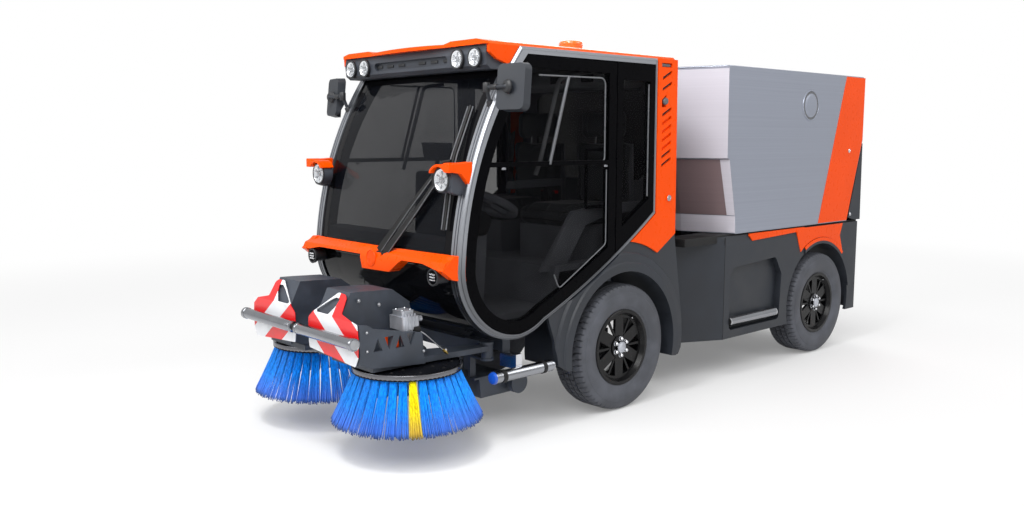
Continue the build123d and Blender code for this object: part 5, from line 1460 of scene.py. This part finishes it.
class SWEEPER_OT_seats(bpy.types.Operator):
    """Sew the two padded seats, with their piping, belts and buckles"""

    bl_idname = "sweeper.seats"
    bl_label = "Seats"

    def execute(self, context):
        seam = context.scene.sweeper_sizes.seam
        low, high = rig.box("seats")
        seat_x, front, base, back_y = 0.27, low.y, low.z, high.y

        def ahead(x, y, z):
            return seat_x + x, front + y, base + z

        def behind(x, y, z):
            return seat_x + x, back_y + y, base + z

        cushion = swollen(
            "seat_cushion", ahead(-0.205, 0.018, 0.004), ahead(0.205, 0.462, 0.094),
            0.04, 0.024, 0.8, ((0, seat_x - 0.135, 2, 1), (0, seat_x + 0.135, 2, 1), (1, front + 0.2, 2, 1))
        )
        back = swollen(
            "seat_back", behind(-0.198, -0.098, 0.075), behind(0.198, -0.016, 0.455), 0.036, 0.022, 0.75,
            ((0, seat_x - 0.128, 1, -1), (0, seat_x + 0.128, 1, -1), (2, base + 0.2, 1, -1),
                (2, base + 0.34, 1, -1))
        )
        rest = swollen(
            "head_rest", behind(-0.16, -0.096, 0.472), behind(0.16, -0.022, 0.628), 0.036, 0.018, 0.85,
            ((0, seat_x - 0.1, 1, -1), (0, seat_x + 0.1, 1, -1))
        )
        trims = [
            piped(cushion, "trim", (0, 0, base + 0.03), (0, 0, 1), seam),
            piped(cushion, "trim", (0, 0, base + 0.078), (0, 0, 1), seam),
            piped(back, "trim", (0, back_y - 0.08, 0), (0, 1, 0), seam),
            piped(rest, "trim", (0, back_y - 0.074, 0), (0, 1, 0), seam * 0.8),
        ]
        both(joined("seat_piping", trims), "belt")
        for pad in (cushion, back, rest):
            left, right = both(pad, "fabric")
            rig.padded(right, fill=0.8)
            if pad is cushion:
                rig.replaces(left, "seats")
        posts = [
            tube("post", [behind(x, -0.056, 0.43), behind(x, -0.056, 0.5)], 0.006) for x in (-0.06, 0.06)
        ]
        both(joined("head_rest_posts", posts), "chrome")
        shell = plate(
            "seat_shell", [behind(-0.19, -0.012, 0.09), behind(0.19, -0.012, 0.09),
                behind(0.18, -0.012, 0.44), behind(-0.18, -0.012, 0.44)], (0, 0.01, 0), 0.004
        )
        both(shell, "inside")
        strap = plate(
            "belt_strap", [behind(0.15, -0.113, 0.52), behind(0.195, -0.113, 0.5),
                behind(0.231, -0.113, 0.16), behind(0.186, -0.113, 0.16)], (0, 0.002, 0), 0.0006
        )
        both(strap, "belt")
        both(box("belt_buckle", ahead(-0.232, 0.33, 0.055), ahead(-0.212, 0.37, 0.165), 0.006, 3), "seal")
        button = box("buckle_button", ahead(-0.2335, 0.336, 0.15), ahead(-0.2105, 0.364, 0.1675), 0.003)
        both(button, "red", slot="dark_plastic")
        return {"FINISHED"}


class SWEEPER_OT_cab_inside(bpy.types.Operator):
    """Model the steering wheel, the display, the dash pod, the arm rest, the consoles and the linings"""

    bl_idname = "sweeper.cab_inside"
    bl_label = "Cab inside"

    def execute(self, context):
        hub = Vector(at(0.27, -0.7, 1.15))
        lean = Vector((0, 0.42, 0.91)).normalized()
        rim = lathe(
            "wheel_rim", [(0.016 * sin(a), 0.174 + 0.0165 * cos(a))
                for a in [2 * pi * k / 12 for k in range(13)]], hub, lean, 48
        )
        place(rim, "inside")
        boss = lathe(
            "wheel_boss", [(0.01, 0.048), (0.02, 0.046), (0.026, 0.036), (0.027, 0)], hub, lean, 32
        )
        place(boss, "inside")
        knob = lathe(
            "wheel_knob", [(0.012, 0), (0.012, 0.009), (0.03, 0.01), (0.034, 0.019), (0.046, 0.022),
                (0.056, 0.018), (0.06, 0)], hub + Vector((-0.174, 0, 0)), lean, 24
        )
        place(knob, "seal", slot="interior")
        display = plate(
            "display", [at(0.185, -0.985, 1.375), at(0.4, -0.985, 1.375), at(0.4, -1.0, 1.46),
                at(0.185, -1.0, 1.46)], (0.004, -0.026, 0), 0.004
        )
        place(display, "seal", slot="interior")
        stalk = tube(
            "display_stalk", [at(0.29, -1.0, 1.385), at(0.29, -1.01, 1.34), at(0.285, -1.01, 1.28)],
            0.011, 0.02
        )
        place(stalk, "seal", slot="interior")
        pod = side_plate(
            "dash_pod", [(-1.03, 1.0), (-0.8, 1.0), (-0.76, 1.08), (-0.8, 1.12), (-0.9, 1.16),
                (-0.97, 1.32), (-1.02, 1.32)], 0.12, 0.31, 0.02
        )
        place(pod, "seal", slot="interior")
        arm = plate(
            "arm_rest", [at(0.035, -0.28, 1.195), at(0.035, 0.13, 1.205), at(0.035, 0.13, 1.245),
                at(0.035, -0.26, 1.24)], (-0.07, 0, 0), 0.012, 3
        )
        place(arm, "inside")
        place(tube("arm_rest_post", [at(0, 0.02, 1.02), at(0, 0.02, 1.2)], 0.016), "seal", slot="interior")
        stick = lathe(
            "control_stick", [(0.0, 0.014), (0.012, 0.011), (0.02, 0.0075), (0.06, 0.0075), (0.066, 0.013),
                (0.098, 0.018), (0.118, 0.014), (0.124, 0)], at(0, -0.24, 1.235), (0, -0.2, 1), 24
        )
        place(stick, "seal", slot="interior")
        place(box("roof_light", at(-0.06, -0.5, 1.846), at(0.06, -0.42, 1.862), 0.004), "inside_light")
        place(box("roof_duct", at(-0.5, -0.02, 1.76), at(0.5, 0.3, 1.858), 0.03, 4), "inside_light")
        vents = [
            box("vent", at(x - 0.045, -0.024, 1.785), at(x + 0.045, -0.018, 1.825), 0.006)
            for x in (-0.36, -0.12, 0.12, 0.36)
        ]
        place(joined("roof_vents", vents), "seal", slot="interior")
        bar = tube(
            "grab_bar", [at(0.558, -0.3, 1.8), at(0.562, -0.44, 1.78), at(0.562, -0.575, 1.36),
                at(0.556, -0.6, 1.3)], 0.011, 0.03, 4
        )
        both(bar, "inside_light")
        console = side_plate(
            "side_console", [(-0.53, 0.8), (-0.3, 1.1), (-0.05, 1.13), (0.28, 1.13), (0.28, 1.08),
                (-0.02, 1.07), (-0.2, 1.02), (-0.36, 0.8)], 0.5, 0.03, 0.006
        )
        both(console, "inside")
        place(box("rear_lining", at(-0.52, 0.355, 0.86), at(0.52, 0.369, 1.22), 0.004), "inside")
        return {"FINISHED"}


class SWEEPER_OT_glazing(bpy.types.Operator):
    """Model the window rails and clips, a grey stroke on the quarter glass's edge as a painted highlight, and the lamp
    pods' housings and visors
    """

    bl_idname = "sweeper.glazing"
    bl_label = "Glazing"

    def execute(self, context):
        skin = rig.box("door_glass_left")[1].x + 0.0012
        rails = [
            tube("rail", [at(skin, -0.66, 1.352), at(skin, -0.163, 1.352), at(skin, -0.163, 1.788),
                at(skin, -0.64, 1.783)], 0.0042, 0.035, 2),
            tube("rail", [at(skin, -0.434, 1.785), at(skin, -0.565, 1.353)], 0.0085, 0, 2)
        ]
        both(joined("window_rails", rails), "trim", "door_SIDE")
        low_rail = tube(
            "low_rail", [at(skin, -0.147, 1.318), at(skin, -0.147, 0.926), at(skin, -0.494, 0.726),
                at(skin, -0.53, 0.8)], 0.0035, 0.02, 2
        )
        both(low_rail, "trim", "door_SIDE")
        clips = [
            box("clip", at(skin - 0.001, y - 0.014, 1.332), at(skin + 0.004, y + 0.014, 1.343), 0.004)
            for y in (-0.155, -0.87)
        ]
        both(joined("window_clips", clips), "tube", "door_SIDE", slot="dark_plastic")
        # Painted highlight: a grey stroke down the quarter glass's edge
        both(tube("pane_edge", [at(skin, 0.188, 1.77), at(skin, 0.188, 1.165)], 0.0045, 0, 2), "trim")

        centre = at(0.537, -1.168, 1.291)
        barrel = lathe(
            "barrel", [(-0.004, 0.0555), (-0.006, 0.059), (0.002, 0.0605), (0.045, 0.0605), (0.05, 0.052),
                (0.05, 0.0), (0.012, 0.0), (0.01, 0.0555)], centre, Y, 48
        )
        cheek = side_plate(
            "cheek", [(-1.166, 1.234), (-1.166, 1.33), (-1.112, 1.322), (-1.052, 1.256), (-1.072, 1.218),
                (-1.13, 1.222)], 0.556, 0.044, 0.01
        )
        both(joined("pod_housing", [barrel, cheek]), "pale_moulding")
        turns = [radians(152 - 11 * k) for k in range(9)]
        arch = [(centre[0] + 0.0725 * cos(a), centre[2] + 0.0725 * sin(a)) for a in turns]
        arch += [(0.585, 1.37), (0.6235, 1.372), (0.6235, 1.326), (0.59, 1.326)]
        arch += [(centre[0] + 0.061 * cos(a), centre[2] + 0.061 * sin(a)) for a in reversed(turns)]
        lip = plate("lip", [at(x, -1.2, z) for x, z in arch], (0, 0.082, 0), 0.003)
        wedge = side_plate(
            "wedge", [(-1.182, 1.328), (-1.201, 1.345), (-1.192, 1.366), (-1.062, 1.374), (-1.062, 1.245),
                (-1.127, 1.319)], 0.5735, 0.052, 0.004
        )
        visor, _ = both(joined("pod_visor", [lip, wedge]), "paint")
        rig.replaces(visor, "lamp_pods")
        return {"FINISHED"}


class SWEEPER_OT_pillars(bpy.types.Operator):
    """Model the louvres' blades with dark sheets behind some of them as painted shade, the vent cover, the knob, the
    lock and the mirrors' fittings
    """

    bl_idname = "sweeper.pillars"
    bl_label = "Pillars"

    def execute(self, context):
        heights = [1.84 - 0.06 * k for k in (0, 1)] + [1.64 - 0.046 * k for k in range(7)]
        # Painted shade: dark sheets behind the blades stand for the shade between them, left out at the heights where
        # none shows
        pierced_heights = [z for z in heights if not 1.42 < z < 1.63]
        wells = [
            side_plate("well", [(0.297, z - 0.042), (0.373, z - 0.002), (0.373, z + 0.016),
                (0.297, z - 0.024)], 0.6202, 0.0018, 0) for z in pierced_heights
        ]
        wells.append(
            side_plate("well", [(0.292, 1.652), (0.328, 1.652), (0.328, 1.718), (0.292, 1.688)], 0.6003,
                0.002, 0)
        )
        both(joined("louvre_wells", wells), "seal")
        shelves = [
            side_plate("shelf", [(0.295, z - 0.026), (0.375, z + 0.014), (0.375, z + 0.0185),
                (0.295, z - 0.0215)], 0.62, 0.0128, 0.0008) for z in heights
        ]
        both(joined("louvre_blades", shelves), "paint")
        both(box("vent_cover", at(0.6165, 0.29, 1.871), at(0.6245, 0.37, 1.887), 0.002), "trim")
        knob = lathe(
            "pillar_knob", [(-0.012, 0.01), (0.006, 0.011), (0.01, 0.019), (0.02, 0.021), (0.027, 0.017),
                (0.029, 0)], at(0.606, 0.328, 1.684), X, 28
        )
        both(knob, "trim")
        lock = lathe(
            "pillar_lock", [(0.0095, 0.0172), (0.0108, 0.0165), (0.0128, 0.0148), (0.0128, 0.0095),
                (0.0112, 0.0088), (0.0112, 0.0022), (0.0098, 0.0018), (0.0098, 0)], at(0.63, 0.361, 1.148),
            X, 28
        )
        both(lock, "bright", slot="chrome")
        flap = side_plate(
            "lock_plate", [(0.327, 1.1), (0.38, 1.132), (0.396, 1.16), (0.372, 1.182), (0.34, 1.176),
                (0.33, 1.15)], 0.6318, 0.0016, 0.0006
        )
        both(flap, "paint")

        ball = at(0.745, -0.966, 1.712)
        cup = lathe(
            "mirror_cup", [(-0.004, 0.012), (0.0, 0.026), (0.01, 0.032), (0.018, 0.031), (0.021, 0.024),
                (0.019, 0.018), (0.012, 0.014)], (ball[0] - 0.002, ball[1] - 0.002, ball[2]),
            (0.2, 0.98, 0), 28
        )
        both(cup, "dark_moulding")
        clamps = []
        for centre, axis, radius in (
            (at(0.612, -0.966, 1.712), Z, 0.017), (at(0.604, -0.935, 1.632), (0.1, -0.35, 0.93), 0.016),
            (at(0.665, -0.966, 1.712), X, 0.013)
        ):
            clamps.append(
                lathe("clamp", [(-0.022, 0.009), (-0.022, radius - 0.002), (-0.019, radius),
                    (0.019, radius), (0.022, radius - 0.002), (0.022, 0.009)], centre, axis, 24)
            )
        both(joined("mirror_clamps", clamps), "dark_moulding")
        return {"FINISHED"}


class SWEEPER_OT_front(bpy.types.Operator):
    """Model the bar across the nose with its blank boss, and the wiper with its two arms, whose grey edge strokes are
    painted highlights
    """

    bl_idname = "sweeper.front"
    bl_label = "Front"

    def execute(self, context):
        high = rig.box("front_bar")[1]
        end, top = high.x, high.z
        face, back = FRONT - 1.236, FRONT - 1.175
        reach = end - 0.004
        outline = [
            (-reach, top), (-0.02, top), (0.03, top - 0.0005), (0.072, 0.941), (0.098, 0.926),
            (0.112, 0.906), (0.124, 0.905), (0.142, 0.942), (0.165, top), (reach, top), (reach, 0.884),
            (0.56, 0.886), (0.455, 0.904), (0.291, 0.903), (0.197, 0.838), (-0.038, 0.834), (-0.058, 0.903),
            (-0.455, 0.904), (-0.56, 0.886), (-reach, 0.884)
        ]
        bar = plate("bar", [(x, face, z) for x, z in outline], (0, back - face, 0), 0)
        edit(bar)
        for spot, normal in (
            (at(0, -1.172, top), (0, -0.03, 0.05)), (at(0, -1.222, 0.918), (0, -0.026, 0.014))
        ):
            bpy.ops.mesh.select_all(action="SELECT")
            bpy.ops.mesh.bisect(plane_co=spot, plane_no=normal, use_fill=True, clear_outer=True)
        for step in range(-9, 10):
            bpy.ops.mesh.select_all(action="SELECT")
            bpy.ops.mesh.bisect(plane_co=(step * 0.0605 + 0.004, 0, 0), plane_no=(1, 0, 0))
        leave()
        for vertex in bar.data.vertices:
            if vertex.co.y > back - 0.0005:
                vertex.co.y += 0.024 * (vertex.co.x / 0.6) ** 2
        soften(done(bar), 0.003)
        droop = [(-1.1, top), (-1.172, top), (-1.244, 0.886), (-1.18, 0.838), (-1.1, 0.824)]
        ends = [side_plate("droop", droop, x, 0.046, 0.003) for x in (end - 0.046, -end)]
        nose_bar = place(joined("nose_bar", [bar] + ends), "paint")
        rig.replaces(nose_bar, "front_bar")
        boss = lathe(
            "bar_boss", [(0.006, 0.041), (0.0, 0.041), (-0.0025, 0.039), (-0.002, 0.036), (0.0002, 0.035),
                (0.0002, 0.032), (-0.0012, 0.031), (-0.0022, 0.0)], (0.046, face - 0.001, 0.893), Y, 48
        )
        place(boss, "paint")

        pivot = [at(0.075, -1.212, 0.93), at(0.125, -1.212, 0.922)]
        elbow = [at(0.413, -1.13, 1.306), at(0.421, -1.13, 1.266)]
        blades, edges = [], []
        for (a, b), wide in zip(zip(pivot, elbow), (0.019, 0.021)):
            a, b = Vector(a), Vector(b)
            across = (b - a).cross(Y).normalized()
            bend = a.lerp(b, 0.6) + across * (0.006 if wide < 0.02 else -0.004) + Y * 0.002
            outline = [
                a - across * wide, bend - across * 0.012, b - across * 0.009, b + across * 0.009,
                bend + across * 0.012, a + across * wide
            ]
            blades.append(plate("arm", outline, (0, 0.009, 0), 0.002))
            # Painted highlight: a grey stroke along one edge of each arm
            edges.append(
                tube("edge", [outline[0] - Y * 0.001, outline[1] - Y * 0.001, outline[2] - Y * 0.001],
                    0.0026, 0.03, 1)
            )
        blades.append(
            tube("link", [elbow[0], at(0.47, -1.104, 1.372), at(0.511, -1.097, 1.376)], 0.008, 0.01)
        )
        blades.append(tube("link", [elbow[1], elbow[0]], 0.007))
        blades.append(
            tube("blade", [at(0.524, -1.152, 1.058), at(0.514, -1.091, 1.376), at(0.499, -0.966, 1.632)],
                0.0065, 0.05)
        )
        blades.append(box("pivot", at(0.06, -1.216, 0.906), at(0.14, -1.186, 0.928), 0.004))
        wiper = place(joined("wiper_arms", blades), "seal")
        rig.replaces(wiper, "wiper")
        # Painted highlight: a grey stroke along the blade
        edges.append(
            tube("edge", [at(0.514, -1.158, 1.062), at(0.504, -1.098, 1.376), at(0.489, -0.974, 1.628)],
                0.0034, 0.05, 1)
        )
        place(joined("wiper_edges", edges), "trim")
        rubber_edge = tube(
            "wiper_rubber", [at(0.535, -1.148, 1.062), at(0.527, -1.086, 1.376), at(0.511, -0.962, 1.628)],
            0.0035, 0.05, 1
        )
        place(rubber_edge, "trim")
        return {"FINISHED"}


# ---------------------------------------------------------------- add-on
SETTINGS = (SweeperColours, SweeperSizes, SweeperStudio)
OPERATORS = tuple(value for name, value in globals().copy().items() if name.startswith("SWEEPER_OT_"))


class SWEEPER_PT_panel(bpy.types.Panel):
    """Lists the settings and the steps of the machine"""

    bl_idname = "SWEEPER_PT_panel"
    bl_label = "Compact Street Sweeper"
    bl_space_type = "VIEW_3D"
    bl_region_type = "UI"
    bl_category = "Sweeper"

    def draw(self, context):
        scene = context.scene
        for group in (scene.sweeper_colours, scene.sweeper_sizes, scene.sweeper_studio):
            for key in group.__annotations__:
                self.layout.prop(group, key)
        for operator in OPERATORS:
            self.layout.operator(operator.bl_idname)


def register():
    for item in SETTINGS + OPERATORS + (SWEEPER_PT_panel,):
        bpy.utils.register_class(item)
    bpy.types.Scene.sweeper_colours = PointerProperty(type=SweeperColours)
    bpy.types.Scene.sweeper_sizes = PointerProperty(type=SweeperSizes)
    bpy.types.Scene.sweeper_studio = PointerProperty(type=SweeperStudio)


def unregister():
    for name in ("sweeper_colours", "sweeper_sizes", "sweeper_studio"):
        delattr(bpy.types.Scene, name)
    for item in reversed(SETTINGS + OPERATORS + (SWEEPER_PT_panel,)):
        bpy.utils.unregister_class(item)


def main():
    """Run every step in order, then write the sizes of the frame and of the dressed machine."""
    register()
    for operator in OPERATORS:
        getattr(bpy.ops.sweeper, operator.bl_idname.split(".")[1])()
    sizes = {"cad": CAD_BOX, "visual": [list(corner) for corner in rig.bounds()]}
    with open("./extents.json", "w") as file:
        json.dump(sizes, file)


if __name__ == "__main__":
    main()
